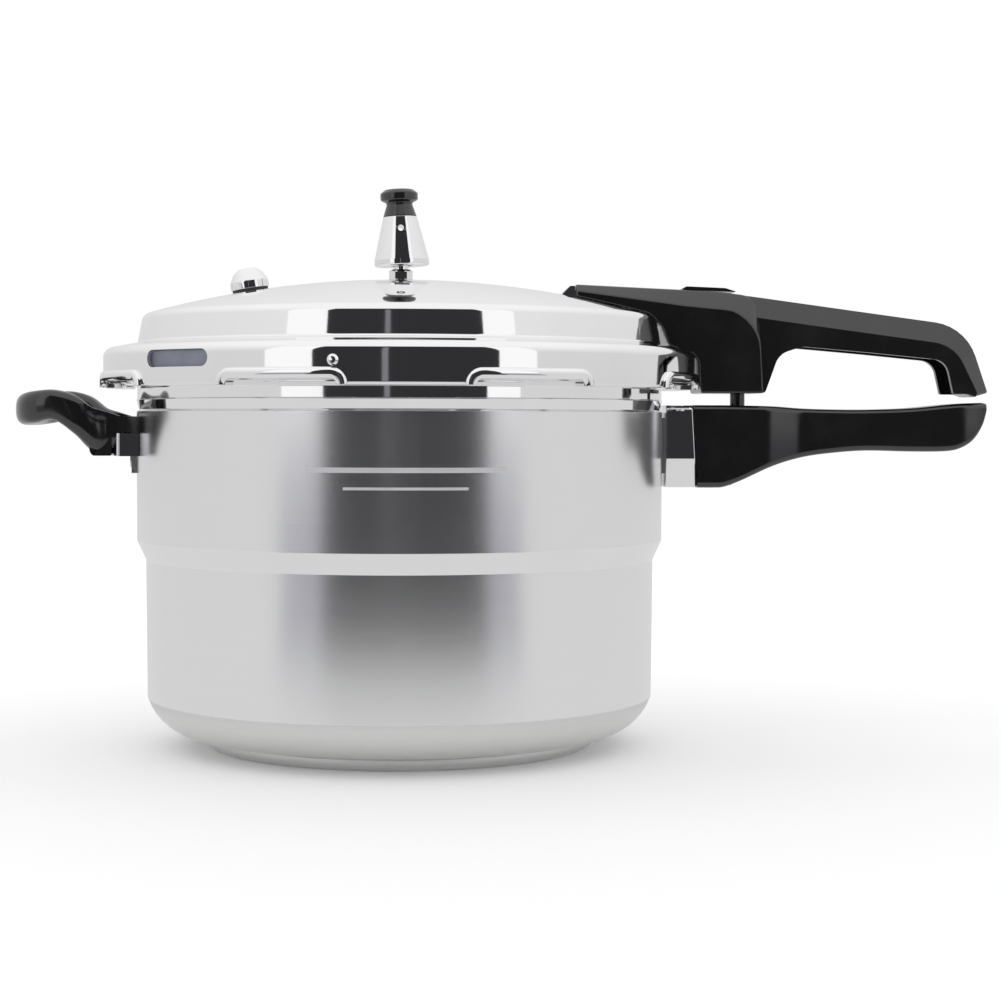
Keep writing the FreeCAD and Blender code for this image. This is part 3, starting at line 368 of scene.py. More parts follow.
def add_bump(tree, height, shader, strength, distance):
    bump = tree.nodes.new("ShaderNodeBump")
    for label, value in (("Strength", strength), ("Distance", distance), ("Height", height)):
        feed(tree, value, bump.inputs[label])
    feed(tree, bump.outputs["Normal"], shader.inputs["Normal"])


def two_tones(tree, shader, mask, colour, first, second):
    """Base colour between two strengths of one colour, by a mask."""
    mix = tree.nodes.new("ShaderNodeMix")
    mix.data_type = "RGBA"
    for label, strength in (("A", first), ("B", second)):
        mix.inputs[label].default_value = (*[min(1.0, channel * strength) for channel in colour], 1.0)
    feed(tree, mask, mix.inputs["Factor"])
    feed(tree, mix.outputs["Result"], shader.inputs["Base Color"])


def brushed_metal(name, colour, roughness, change, density, strength, tint=0.06):
    """Metal brushed round the axis."""
    material, tree = new_material(name)
    if tree is None:
        return material
    shader = tree.nodes["Principled BSDF"]
    shader.inputs["Metallic"].default_value = 1.0
    lines = add_group(tree, hairline_group(), Line_Density=density, Roughness=roughness,
                      Roughness_Change=change)
    feed(tree, lines.outputs["Roughness"], shader.inputs["Roughness"])
    two_tones(tree, shader, lines.outputs["Tone"], colour, 1.0 - tint, 1.0)
    add_bump(tree, lines.outputs["Height"], shader, strength, sizes().grain_depth)
    return material


def polished_metal(name, colour, roughness, smear=0.03, scale=25.0):
    """Mirror-polished metal with faint smears."""
    material, tree = new_material(name)
    if tree is None:
        return material
    shader = tree.nodes["Principled BSDF"]
    shader.inputs["Metallic"].default_value = 1.0
    marks = add_group(tree, handling_group(), Scale=scale, Roughness=roughness, Smear=smear)
    feed(tree, marks.outputs["Roughness"], shader.inputs["Roughness"])
    two_tones(tree, shader, marks.outputs["Mask"], colour, 1.0, 0.97)
    add_bump(tree, marks.outputs["Height"], shader, 0.02, 0.0001)
    return material


def moulded(name, colour, roughness, smear, grain, specular=0.5):
    """Moulded phenolic or rubber: a faint orange peel and handling marks."""
    material, tree = new_material(name)
    if tree is None:
        return material
    shader = tree.nodes["Principled BSDF"]
    shader.inputs["Specular IOR Level"].default_value = specular
    marks = add_group(tree, handling_group(), Scale=60.0, Roughness=roughness, Smear=smear)
    feed(tree, marks.outputs["Roughness"], shader.inputs["Roughness"])
    two_tones(tree, shader, marks.outputs["Mask"], colour, 1.0, 1.25)
    add_bump(tree, marks.outputs["Height"], shader, grain, 0.0002)
    return material


def wall_brushed():
    """Brushed wall with two plain etched lines on its front."""
    if "Brushed wall" in bpy.data.materials:
        return bpy.data.materials["Brushed wall"]
    material = brushed_metal("Brushed wall", colours().aluminium, 0.17, 0.10, 2600.0, 0.35)
    tree = material.node_tree
    shader = tree.nodes["Principled BSDF"]
    upper = add_group(tree, plain_bars_group(), Height=0.1308, Thickness=0.0011, Half_Angle=0.349)
    lower = add_group(tree, plain_bars_group(), Height=0.1231, Thickness=0.0006, Half_Angle=0.215)
    either = math_node(tree, "ADD", upper.outputs["Mask"], lower.outputs["Mask"])
    either.node.use_clamp = True
    rough = tree.nodes.new("ShaderNodeMix")
    rough.inputs["B"].default_value = 0.75
    feed(tree, either, rough.inputs["Factor"])
    feed(tree, shader.inputs["Roughness"].links[0].from_socket, rough.inputs["A"])
    feed(tree, rough.outputs["Result"], shader.inputs["Roughness"])
    return material


def inside_brushed():
    return brushed_metal("Brushed inside", colours().aluminium, 0.30, 0.12, 1200.0, 0.4)


def satin_shoulder():
    return brushed_metal("Satin shoulder", colours().satin, 0.36, 0.10, 900.0, 0.25)


def base_satin():
    return brushed_metal("Turned base", colours().satin, 0.42, 0.10, 700.0, 0.3)


def polished_lid():
    return polished_metal("Polished aluminium", colours().aluminium, 0.045)


def chrome():
    return polished_metal("Chrome", colours().chrome, 0.03, 0.02, 60.0)


def plated():
    return polished_metal("Plated steel", colours().steel, 0.28, 0.1, 90.0)


def brass():
    return polished_metal("Brass", colours().brass, 0.22, 0.1, 90.0)


def black_phenolic():
    return moulded("Black phenolic", colours().phenolic, 0.12, 0.10, 0.02, 0.9)


def seal_rubber():
    return moulded("Seal rubber", colours().seal, 0.42, 0.12, 0.08, 0.4)


def gasket_rubber():
    return moulded("Gasket rubber", colours().gasket, 0.5, 0.12, 0.08, 0.4)


# ---------------------------------------------------------------- pot
def pot_outline():
    """Outside and inside of the pot's wall, from the base's centre round to the floor's centre."""
    size = sizes()
    low, high = (corner.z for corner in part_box("pot_shell"))
    wall = size.wall_thickness
    corners = [
        (0.0, low, 0.0), (0.0925, low, 0.0), (0.1022, 0.0072, 0.0), (0.11394, 0.0116, 0.0255),
        (size.foot_radius, 0.0235, 0.0), (size.waist_radius, 0.0870, 0.0010),
        (size.wall_radius, 0.0960, 0.0010), (size.wall_radius, BEAD_FOOT, 0.0005),
        (0.1214, 0.1562, 0.0004), (0.1226, 0.1608, 0.0005), (0.1222, 0.1612, 0.0), (0.1222, 0.1662, 0.0008),
        (0.1255, high - 0.003, 0.0), (0.1275, high - 0.003, 0.0), (0.1275, high, 0.0008),
        (size.mouth_radius, high, 0.0011), (size.mouth_radius, STEP_HEIGHT, 0.0010),
        (size.waist_radius - wall, 0.0876, 0.0010), (size.foot_radius - wall, 0.0243, 0.0),
        (0.11194, 0.0136, 0.0225), (0.1012, INSIDE_FLOOR, 0.0), (0.0, INSIDE_FLOOR, 0.0)]
    return rounded(corners)


def pot_band(middle):
    """Which finish a face of the pot has: 0 wall, 1 polished, 2 satin shoulder, 3 inside."""
    size = sizes()
    across = math.hypot(middle.x, middle.y)
    if middle.z < 0.0236:
        corner_reach = math.hypot(across - 0.0895, max(0.0, 0.036 - middle.z))
        return 2 if corner_reach > 0.0268 or middle.z < 0.0078 else 3
    inside_edge = size.mouth_radius - 0.0006 if middle.z > STEP_HEIGHT else size.foot_radius - 0.0012
    if across <= inside_edge:
        return 3
    return 1 if middle.z > BEAD_FOOT or 0.0868 < middle.z < 0.0962 else 0


def make_pot():
    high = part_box("pot_shell")[1]
    mesh = bmesh.new()
    spin_outline(mesh, pot_outline())
    under = high.z - 0.003
    lug = rounded([(0.1265, under, 0.0), (high.x, under, 0.0005), (high.x, high.z, 0.0008),
                   (0.1265, high.z, 0.0)])
    width = math.radians(21.0)
    for number in range(LUG_COUNT):
        spin_outline(mesh, lug, 20, number * LUG_STEP - width / 2.0, width)
    for face in mesh.faces:
        face.material_index = pot_band(face.calc_center_median())
    bands = [wall_brushed(), polished_lid(), satin_shoulder(), inside_brushed()]
    piece = finish_mesh("pot_skin", mesh, bands)
    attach(piece, "pot")
    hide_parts("pot_shell")


def make_base():
    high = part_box("base_plate")[1]
    mesh = bmesh.new()
    spin_outline(mesh, rounded([(0.0, 0.0, 0.0), (0.082, 0.0, 0.0), (high.x, 0.0, 0.004),
                                (high.x, high.z, 0.0006), (0.0, high.z, 0.0)]), 192)
    piece = finish_mesh("base_disc", mesh, [base_satin()])
    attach(piece, "pot")
    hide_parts("base_plate")


# ---------------------------------------------------------------- lid
def lid_outline():
    """Dome, channel and skirt of the lid, outside and inside, down to the top of the gaps."""
    size = sizes()
    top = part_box("lid_shell")[1].z
    centre = top - size.dome_radius
    thick = size.lid_thickness
    skirt = SKIRT_RADIUS
    corners = sphere_arc(size.dome_radius, centre, 0.0, size.dome_edge - 0.0035, 24)
    edge_height = centre + math.sqrt(size.dome_radius ** 2 - size.dome_edge ** 2)
    corners += [(size.dome_edge, edge_height, 0.0042), (0.1220, 0.1866, 0.0015), (skirt, 0.1838, 0.0045),
                (skirt, size.notch_height, 0.0), (skirt - thick, size.notch_height, 0.0),
                (skirt - thick, 0.1818, 0.003), (0.1200, 0.1846, 0.0008),
                (size.dome_edge - thick, edge_height - thick, 0.003)]
    inside = sphere_arc(size.dome_radius - thick, centre, 0.0, size.dome_edge - thick - 0.0035, 12)
    return rounded(corners + inside[::-1])


def cut_away(piece, mesh, sharp=28.0):
    """Take a closed mesh away from a piece and keep the result as its mesh."""
    bmesh.ops.recalc_face_normals(mesh, faces=mesh.faces)
    cutter = place_mesh("cutter", mesh)
    piece.modifiers.clear()
    boolean = piece.modifiers.new("Cut", "BOOLEAN")
    boolean.operation = "DIFFERENCE"
    boolean.solver = "EXACT"
    boolean.use_self = True
    boolean.object = cutter
    graph = bpy.context.evaluated_depsgraph_get()
    cut = bpy.data.meshes.new_from_object(piece.evaluated_get(graph), depsgraph=graph)
    piece.modifiers.clear()
    piece.data = cut
    bpy.data.objects.remove(cutter)
    even_normals(piece, sharp)


def cut_gasket_window(piece):
    """Cut the rounded slot through the skirt."""
    half, low, high, radius = 0.0195, 0.1740, 0.1814, 0.00369
    slot = rounded([(-half, low, radius), (half, low, radius), (half, high, radius),
                    (-half, high, radius)], 12)
    mesh = bmesh.new()
    extrude_side(mesh, slot, -150.0, -125.0)
    bmesh.ops.rotate(mesh, verts=mesh.verts, cent=(0, 0, 0),
                     matrix=Matrix.Rotation(math.radians(-45), 3, "Z"))
    cut_away(piece, mesh)


def add_bead(mesh, centre_angle, half_angle, reach, foot, top, radius):
    """A rolled bead that stands up one side of a gap, runs over it and comes down the other side."""
    bend = 0.0048
    rise = top - bend - foot
    upward = Vector((0, 0, 1))
    ring = bmesh.ops.create_circle(mesh, cap_ends=True, segments=20, radius=radius)["verts"]
    bmesh.ops.scale(mesh, vec=(1.0, 1.3, 1.0), verts=ring)
    bmesh.ops.translate(mesh, verts=ring, vec=(reach, 0, foot))
    bmesh.ops.rotate(mesh, verts=ring, cent=(0, 0, 0),
                     matrix=Matrix.Rotation(centre_angle - half_angle, 3, "Z"))
    geometry = list(ring) + list({part for vert in ring for part in (*vert.link_faces, *vert.link_edges)})

    def sweep(centre, axis, angle, steps, shift=0.0):
        return bmesh.ops.spin(mesh, geom=geometry, cent=centre, axis=axis, dvec=(0, 0, shift / steps),
                              angle=angle, steps=steps)["geom_last"]

    def bend_round(angle, side):
        outward = Vector((math.cos(angle), math.sin(angle), 0.0))
        tangent = upward.cross(outward)
        pivot = outward * reach + tangent * bend * side + upward * (top - bend)
        return sweep(pivot, outward, -math.pi / 2.0, 8)

    geometry = sweep((0, 0, 0), upward, 0.0, 4, rise)
    geometry = bend_round(centre_angle - half_angle, 1.0)
    geometry = sweep((0, 0, 0), upward, 2.0 * (half_angle - bend / reach), 20)
    geometry = bend_round(centre_angle + half_angle, -1.0)
    sweep((0, 0, 0), upward, 0.0, 4, -rise)


def make_lid():
    size = sizes()
    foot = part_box("lid_shell")[0].z
    skirt = SKIRT_RADIUS
    thick = size.lid_thickness
    mesh = bmesh.new()
    spin_outline(mesh, lid_outline(), 288)
    piece = finish_mesh("lid_skin", mesh, [polished_lid()])
    cut_gasket_window(piece)
    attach(piece, "lid")
    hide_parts("lid_shell")

    mesh = bmesh.new()
    lug_top = size.notch_height + 0.0002
    lug = rounded([(LUG_INNER_RADIUS, foot, 0.0006), (skirt, foot, 0.0016), (skirt, lug_top, 0.0),
                   (skirt - thick, lug_top, 0.0), (skirt - thick, foot + thick, 0.0005),
                   (LUG_INNER_RADIUS, foot + thick, 0.0006)])
    width = math.radians(22.0)
    for number in range(LUG_COUNT):
        spin_outline(mesh, lug, 24, number * LUG_STEP - width / 2.0, width)
    lugs = finish_mesh("lid_lugs", mesh, [polished_lid()])
    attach(lugs, "lid")
    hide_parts("lid_shell")

    mesh = bmesh.new()
    for number in range(LUG_COUNT):
        add_bead(mesh, (number + 0.5) * LUG_STEP, math.radians(11.5), skirt + 0.0003,
                 foot + 0.0004, size.notch_height + 0.0010, size.bead_radius)
    beads = finish_mesh("lid_gap_beads", mesh, [polished_lid()], 40.0)
    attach(beads, "lid")
    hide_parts("lid_shell")


# ---------------------------------------------------------------- weight and valve
def turned_piece(name, node, corners, material, body, matrix, steps=96, sharp=28.0):
    """A turned piece that stands for a CAD node, put in place by a matrix."""
    mesh = bmesh.new()
    spin_outline(mesh, rounded(corners), steps)
    bmesh.ops.transform(mesh, matrix=matrix, verts=mesh.verts)
    piece = finish_mesh(name, mesh, [material], sharp)
    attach(piece, body)
    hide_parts(node)
    return piece


def weight_matrix():
    """The weight leans a little on its seat."""
    pivot = Vector((0, 0, 0.2362))
    lean = Matrix.Rotation(math.radians(-2.4), 4, "Y")
    return Matrix.Translation(pivot) @ lean @ Matrix.Translation(-pivot)


def make_weight():
    matrix = weight_matrix()
    cone = turned_piece("weight_cone", "weight_body", [
        (0.0054, 0.2238, 0.0003), (0.0128, 0.2238, 0.0010), (0.0128, 0.2266, 0.0012), (0.0079, 0.2468, 0.0003),
        (0.0, 0.2468, 0.0), (0.0, 0.2362, 0.0), (0.0054, 0.2362, 0.0)], chrome(), "weight", matrix)
    low, high = (Vector(corner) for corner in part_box("weight_pin"))
    hole_radius = 0.5 * (high.z - low.z) + 0.1 * MM
    bore = bmesh.new()
    bmesh.ops.create_cone(bore, cap_ends=True, segments=40, radius1=hole_radius, radius2=hole_radius,
                          depth=30.0 * MM, matrix=Matrix.Translation(0.5 * (low + high))
                          @ Matrix.Rotation(math.radians(90.0), 4, "X"))
    cut_away(cone, bore)
    turned_piece("weight_grip", "weight_knob", [
        (0.0, 0.2435, 0.0), (0.0040, 0.2435, 0.0), (0.0040, 0.24685, 0.0), (0.0079, 0.24685, 0.0003),
        (0.0061, 0.2524, 0.0012), (0.0062, 0.2533, 0.0008), (0.0088, 0.2546, 0.0012), (0.0088, 0.2578, 0.0013),
        (0.0066, 0.2595, 0.0016), (0.0, 0.2595, 0.0)], black_phenolic(), "weight", matrix)


def make_safety_valve():
    size = sizes()
    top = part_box("lid_shell")[1].z
    matrix = (Matrix.Translation((0, 0, top - size.dome_radius))
              @ Matrix.Rotation(math.radians(-9.37), 4, "Y"))
    skin = size.dome_radius
    foot = skin + 0.00185
    crown = skin + 0.0116
    turned_piece("safety_nut", "safety_cap", [
        (0.00503, foot, 0.0), (0.0089, foot, 0.0002), (0.0089, foot + 0.0034, 0.0018),
        (0.0067, foot + 0.0074, 0.0022), (0.0039, crown - 0.0003, 0.0008), (0.0011, crown, 0.0),
        (0.0011, crown - 0.0014, 0.0), (0.00375, crown - 0.0014, 0.0), (0.00375, skin + 0.0053, 0.0),
        (0.00503, skin + 0.0053, 0.0)], chrome(), "lid", matrix)


# ---------------------------------------------------------------- handles
def mm_outline(corners):
    return rounded([(x * MM, z * MM, radius * MM) for x, z, radius in corners], 7)


def make_hood():
    """Hood over the lid's edge: a flat side, a sloping shoulder and a narrow roof."""
    roof = [(81.6, 215.4, 0), (110.5, 214.1, 0), (131.0, 213.2, 0), (150.0, 212.2, 0), (167.5, 210.0, 9)]
    shoulder = [(81.6, 212.2, 0), (110.5, 208.3, 0), (131.0, 205.4, 0), (140.0, 204.5, 0),
                (167.0, 202.0, 20)]
    under = [(168.9, 164.6, 1), (140.0, 164.6, 1), (138.9, 168.0, 1), (138.7, 179.0, 3),
             (136.0, 182.9, 2.5), (124.6, 186.7, 3), (121.8, 195.0, 4), (116.0, 201.4, 9), (104.0, 204.5, 0),
             (92.4, 207.2, 0), (81.6, 209.5, 0)]
    tall = mm_outline(roof + under)
    low = mm_outline(shoulder + under)
    layers = []
    for side, outline, front, back in ((-1, low, 13.0, 17.9), (-1, tall, 8.0, 9.5), (1, tall, 8.0, 9.5),
                                       (1, low, 13.0, 17.9)):
        layer = []
        for point in outline:
            share = (point.x / MM - HOOD_START) / (HOOD_FULL_WIDTH - HOOD_START)
            half = front + (back - front) * min(1.0, max(0.0, share))
            layer.append((point.x, side * half * MM, point.y))
        layers.append(layer)
    mesh = bmesh.new()
    loft(mesh, layers)
    soften(mesh, 0.9 * MM, 3)
    piece = finish_mesh("upper_handle_hood", mesh, [black_phenolic()], 50.0)
    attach(piece, "lid")
    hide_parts("upper_handle")


def make_arm():
    """Arm of the upper handle: a hooked bar with a leaning strip along its top."""
    top = [(150.0, 212.1, 0), (167.3, 209.9, 0), (209.3, 204.3, 0), (267.4, 196.6, 24), (278.2, 165.3, 1)]
    crease = [(150.0, 202.0, 0), (167.3, 199.9, 0), (209.3, 194.3, 0), (260.5, 187.6, 18), (271.6, 165.3, 1)]
    under = [(271.0, 163.2, 0.5), (267.0, 164.6, 1), (260.2, 164.6, 1), (256.6, 180.4, 8), (220.0, 183.9, 0),
             (188.0, 186.6, 10), (177.0, 183.0, 9), (170.5, 164.8, 2), (150.0, 164.8, 0)]
    tall = mm_outline(top + under)
    low = mm_outline(crease + under)
    mesh = bmesh.new()
    loft(mesh, [[(point.x, half * MM, point.y) for point in outline]
                for half, outline in ((-13.4, low), (-7.6, tall), (7.6, tall), (13.4, low))])
    soften(mesh, 0.9 * MM, 3)
    piece = finish_mesh("upper_handle_arm", mesh, [black_phenolic()], 50.0)
    channel = mm_outline([(186.0, 158.0, 0), (186.0, 197.5, 4), (250.0, 189.0, 8), (264.0, 181.0, 8),
                          (267.6, 158.0, 0)])
    mesh = bmesh.new()
    extrude_side(mesh, channel, -10.4, 10.4)
    cut_away(piece, mesh, 50.0)
    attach(piece, "lid")
    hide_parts("upper_handle")


def make_lock_button():
    corners = [(131.4, 213.2, 0.3), (134.0, 214.9, 2), (152.5, 214.2, 4), (158.7, 212.3, 0.2),
               (151.0, 212.6, 0)]
    mesh = bmesh.new()
    extrude_side(mesh, spread(mm_outline(corners), 4.0 * MM), -6.9, 6.9)
    soften(mesh, 0.4 * MM, 2)
    piece = finish_mesh("lock_thumb_button", mesh, [black_phenolic()], 50.0)
    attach(piece, "lock")
    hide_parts("lock_button")


def boxed_ring(x, low, high, half, radius, slant):
    """A rounded rectangle across X, leaning forward by the slant for every mm below its top."""
    section = rounded([(-half, low, radius), (half, low, radius), (half, high, radius),
                       (-half, high, radius)], 6)
    return [((x + slant * (high - point.y)) * MM, point.x * MM, point.y * MM) for point in section]


def make_lower_grip():
    """Lower long handle: a block at the collar that narrows to a rounded grip."""
    stations = [(136.1, 120.4, 159.0), (146.0, 120.4, 159.0), (151.0, 120.8, 159.0), (158.8, 123.6, 158.9),
                (174.0, 130.4, 158.6), (189.1, 134.7, 157.6), (204.3, 136.8, 157.2), (219.6, 137.8, 157.2),
                (240.0, 137.4, 157.9), (256.0, 137.5, 159.4), (264.0, 138.8, 160.1), (270.7, 142.8, 160.4),
                (275.0, 149.2, 160.5), (276.8, 155.2, 160.2)]
    rings = []
    for x, low, high in smooth_path(stations, 6):
        half = 17.0 - 4.0 * ease(x, 166.0, 192.0) - 1.5 * ease(x, 262.0, 279.0)
        slant = 0.0573 * (1.0 - ease(x, 136.1, 150.0))
        rings.append(boxed_ring(x, low, high, half, min(2.8, 0.49 * (high - low)), slant))
    mesh = bmesh.new()
    tip = loft(mesh, rings)[1]
    bmesh.ops.recalc_face_normals(mesh, faces=mesh.faces)
    bmesh.ops.bevel(mesh, geom=list(tip.edges), offset=1.0 * MM, offset_type="OFFSET", segments=3,
                    profile=0.5, affect="EDGES", material=-1, clamp_overlap=True)
    piece = finish_mesh("lower_handle_grip", mesh, [black_phenolic()], 50.0)
    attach(piece, "pot")
    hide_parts("lower_handle")


def make_collar():
    """Polished collar round the root of the lower handle."""
    section = mm_outline([(-17.2, 134.0, 0), (-13.9, 120.5, 2), (13.9, 120.5, 2), (17.2, 134.0, 0),
                          (17.2, 158.9, 3.4), (-17.2, 158.9, 3.4)])
    root, front_low, front_high, low, high = 0.1234, 0.1378, 0.1356, 0.1205, 0.1589
    slant = (front_low - front_high) / (high - low)
    mesh = bmesh.new()
    loft(mesh, [[(root, point.x, point.y) for point in section],
                [(front_low - slant * (point.y - low), point.x, point.y) for point in section]])
    soften(mesh, 0.4 * MM, 2, 60.0)
    piece = finish_mesh("lower_handle_collar", mesh, [chrome()], 12.0)
    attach(piece, "pot")
    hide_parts("lower_handle_ferrule")


def oval_ring(x, y, z, tall, wide, across):
    """A squared oval across a path, in mm, as points in metres."""
    ring = []
    for angle in (FULL_TURN * step / 36 for step in range(36)):
        lean, rise = (math.copysign(abs(value) ** SQUARENESS, value)
                      for value in (math.cos(angle), math.sin(angle)))
        ring.append(((x + across.x * wide * lean) * MM, (y + across.y * wide * lean) * MM,
                     (z + tall * rise) * MM))
    return ring


def make_helper_loop():
    """Helper grip: a rounded bar swept round a finger gap, with its root block."""
    half_path = [(-127.0, 25.5, 147.0, 6.0, 3.6), (-134.0, 25.8, 146.6, 8.6, 4.6),
                 (-140.5, 27.6, 147.5, 9.8, 5.4), (-148.0, 29.6, 153.9, 8.9, 5.6),
                 (-157.0, 29.4, 158.2, 6.9, 5.6), (-165.6, 26.4, 157.2, 7.3, 5.7),
                 (-170.4, 16.0, 156.3, 7.2, 5.8), (-171.2, 0.0, 156.0, 7.1, 5.9)]
    rows = half_path + [(x, -y, z, tall, wide) for x, y, z, tall, wide in half_path[-2::-1]]
    path = smooth_path(rows, 8)
    rings = []
    for number, row in enumerate(path):
        before = Vector(path[max(0, number - 1)][:2])
        after = Vector(path[min(len(path) - 1, number + 1)][:2])
        along = (after - before).normalized()
        rings.append(oval_ring(*row, Vector((-along.y, along.x))))
    mesh = bmesh.new()
    loft(mesh, rings)
    root = mm_outline([(-124.0, 153.2, 0), (-124.0, 145.8, 0), (-131.4, 145.8, 0.6), (-131.4, 135.2, 1),
                       (-139.8, 135.2, 2), (-141.6, 137.0, 4), (-139.6, 156.0, 3), (-134.0, 153.4, 6)])
    block = bmesh.new()
    extrude_side(block, root, -30.0, 30.0)
    soften(block, 2.6 * MM, 4, 40.0, lambda edge: abs(edge.verts[0].co.y - edge.verts[1].co.y) < MM)
    data = bpy.data.meshes.new("root")
    block.to_mesh(data)
    block.free()
    mesh.from_mesh(data)
    bpy.data.meshes.remove(data)
    piece = finish_mesh("helper_grip", mesh, [black_phenolic()], 50.0)
    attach(piece, "pot")
    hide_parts("helper_handle")


# ---------------------------------------------------------------- finishes of the CAD nodes
NODE_FINISHES = {
    "long_bracket": plated, "long_bracket_rivets": plated, "lower_handle_ferrule": chrome,
    "lower_handle": black_phenolic, "lower_handle_screw": plated, "lock_post": black_phenolic,
    "helper_bracket": plated, "helper_bracket_rivets": plated, "helper_ferrule": chrome,
    "helper_handle": black_phenolic, "sealing_ring": seal_rubber, "stop_rivet": chrome,
    "vent_pipe": chrome, "vent_washer": plated, "vent_nut": plated, "vent_guard": plated,
    "safety_gasket": gasket_rubber, "safety_bush": brass, "safety_spring": plated, "safety_piston": brass,
    "upper_handle": black_phenolic, "lid_tongue": chrome, "upper_handle_inserts": brass,
    "upper_handle_screws": plated, "float_bush": gasket_rubber, "float_pin": plated,
    "weight_pin": chrome, "lock_button": black_phenolic, "lock_slide": plated,
}


def finish_nodes():
    for name, finish in NODE_FINISHES.items():
        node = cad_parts[name]
        material = finish()
        for slot in node.material_slots:
            slot.material = material


# ---------------------------------------------------------------- stage
def light_card(piece, name, colour):
    """Make a piece glow evenly and show in reflections only; gives its node tree and emission."""
    material = bpy.data.materials.new(name)
    material.use_nodes = True
    tree = material.node_tree
    tree.nodes.clear()
    glow = tree.nodes.new("ShaderNodeEmission")
    glow.inputs["Color"].default_value = (*colour, 1.0)
    leave = tree.nodes.new("ShaderNodeOutputMaterial")
    tree.links.new(glow.outputs[0], leave.inputs["Surface"])
    piece.data.materials.append(material)
    piece.visible_camera = False
    piece.visible_diffuse = False
    piece.visible_shadow = False
    piece.visible_transmission = False
    piece.visible_volume_scatter = False
    return tree, glow


def curved_card(name, colour, first, last, near, far):
    """A card swept round the axis between two angles from -Y towards +X, in degrees.

    near and far are the (distance from the axis, height) of its two edges.
    """
    mesh = bmesh.new()
    angle = math.radians(first - 90.0)
    ends = [mesh.verts.new((reach * math.cos(angle), reach * math.sin(angle), height))
            for reach, height in (near, far)]
    edge = mesh.edges.new(ends)
    bmesh.ops.spin(mesh, geom=ends + [edge], cent=(0, 0, 0), axis=(0, 0, 1), dvec=(0, 0, 0),
                   angle=math.radians(last - first), steps=48)
    light_card(place_mesh(name, mesh), name, colour)


def make_surround():
    """A pale dome that only shiny surfaces see, darker low down than overhead."""
    reach, lowest, steps = 2.6, -20.0, 24
    mesh = bmesh.new()
    profile = []
    for step in range(steps + 1):
        angle = math.radians(lowest + (90.0 - lowest) * step / steps)
        profile.append(mesh.verts.new((reach * math.cos(angle), 0.0, reach * math.sin(angle))))
    edges = [mesh.edges.new(pair) for pair in zip(profile, profile[1:])]
    bmesh.ops.spin(mesh, geom=profile + edges, cent=(0, 0, 0), axis=(0, 0, 1), dvec=(0, 0, 0),
                   angle=FULL_TURN, steps=96, use_merge=True)
    bmesh.ops.remove_doubles(mesh, verts=mesh.verts, dist=1e-5)
    tree, glow = light_card(place_mesh("surround", mesh), "surround", (0.8, 0.8, 0.8))
    split = tree.nodes.new("ShaderNodeSeparateXYZ")
    feed(tree, tree.nodes.new("ShaderNodeTexCoord").outputs["Object"], split.inputs[0])
    rise = tree.nodes.new("ShaderNodeMapRange")
    for label, value in (("Value", split.outputs["Z"]), ("From Min", -0.4), ("From Max", 2.2)):
        feed(tree, value, rise.inputs[label])
    ramp = tree.nodes.new("ShaderNodeValToRGB")
    ramp.color_ramp.elements[0].color = (0.62, 0.62, 0.62, 1.0)
    ramp.color_ramp.elements[1].color = (1.0, 1.0, 1.0, 1.0)
    feed(tree, rise.outputs[0], ramp.inputs["Fac"])
    feed(tree, ramp.outputs["Color"], glow.inputs["Color"])


def make_floor():
    mesh = bmesh.new()
    bmesh.ops.create_circle(mesh, cap_ends=True, segments=96, radius=4.0)
    bmesh.ops.translate(mesh, verts=mesh.verts, vec=(0, 0, -0.0003))
    floor = place_mesh("floor", mesh)
    material, tree = new_material("Pale floor")
    shader = tree.nodes["Principled BSDF"]
    for label, value in (("Base Color", (*colours().floor, 1.0)), ("Roughness", 0.9),
                         ("Specular IOR Level", 0.1), ("Emission Color", (1.0, 1.0, 1.0, 1.0)),
                         ("Emission Strength", 0.06)):
        shader.inputs[label].default_value = value
    floor.data.materials.append(material)


def make_cards():
    """A dark room opening with pale flaps at its sides, and a table that is dark in front."""
    dark = (0.030, 0.030, 0.033)
    grey = (0.36, 0.36, 0.41)
    white = (1.05, 1.05, 1.05)
    pale = (0.72, 0.72, 0.72)
    low, middle, high = -0.5, 0.14, 2.9
    left, right = -32.6, 34.4
    room = 1.9
    table = ((0.50, 0.0012), (room, 0.0012))
    curved_card("room_opening", dark, left, right, (room, low), (room, high))
    curved_card("room_glint", (0.22, 0.22, 0.24), -7.6, -5.4, (1.85, low), (1.85, 1.2))
    for side, first, last in (("left", -50.6, left), ("right", right, 49.0)):
        curved_card(side + "_flap", white, first, last, (room, middle), (room, high))
        curved_card(side + "_flap_foot", grey, first, last, (room, low), (room, middle))
        curved_card(side + "_table_edge", grey, first, last, *table)
    curved_card("table_front", dark, left, right, *table)
    curved_card("table_pale", pale, 0.0, 360.0, (0.135, 0.0006), (2.5, 0.0006))


def make_camera():
    data = bpy.data.cameras.new("camera")
    data.sensor_width = 36.0
    data.lens = CAMERA_LENS
    data.clip_start = 0.01
    camera = bpy.data.objects.new("camera", data)
    bpy.context.scene.collection.objects.link(camera)
    camera.location = CAMERA_PLACE
    turn, pitch, roll = (Matrix.Rotation(math.radians(angle), 4, axis) for angle, axis in (
        (CAMERA_TURN, "Z"), (CAMERA_PITCH, "X"), (CAMERA_ROLL, "Z")))
    camera.rotation_euler = (turn @ pitch @ roll).to_euler()
    bpy.context.scene.camera = camera


def make_stage():
    scene = bpy.context.scene
    scene.view_settings.view_transform = "Standard"
    scene.view_settings.look = "None"
    world = bpy.data.worlds.new("Studio")
    scene.world = world
    world.use_nodes = True
    world.node_tree.nodes["Background"].inputs["Color"].default_value = (1.0, 1.0, 1.0, 1.0)
    world.node_tree.nodes["Background"].inputs["Strength"].default_value = 1.0
    make_floor()
    make_surround()
    make_cards()
    make_camera()


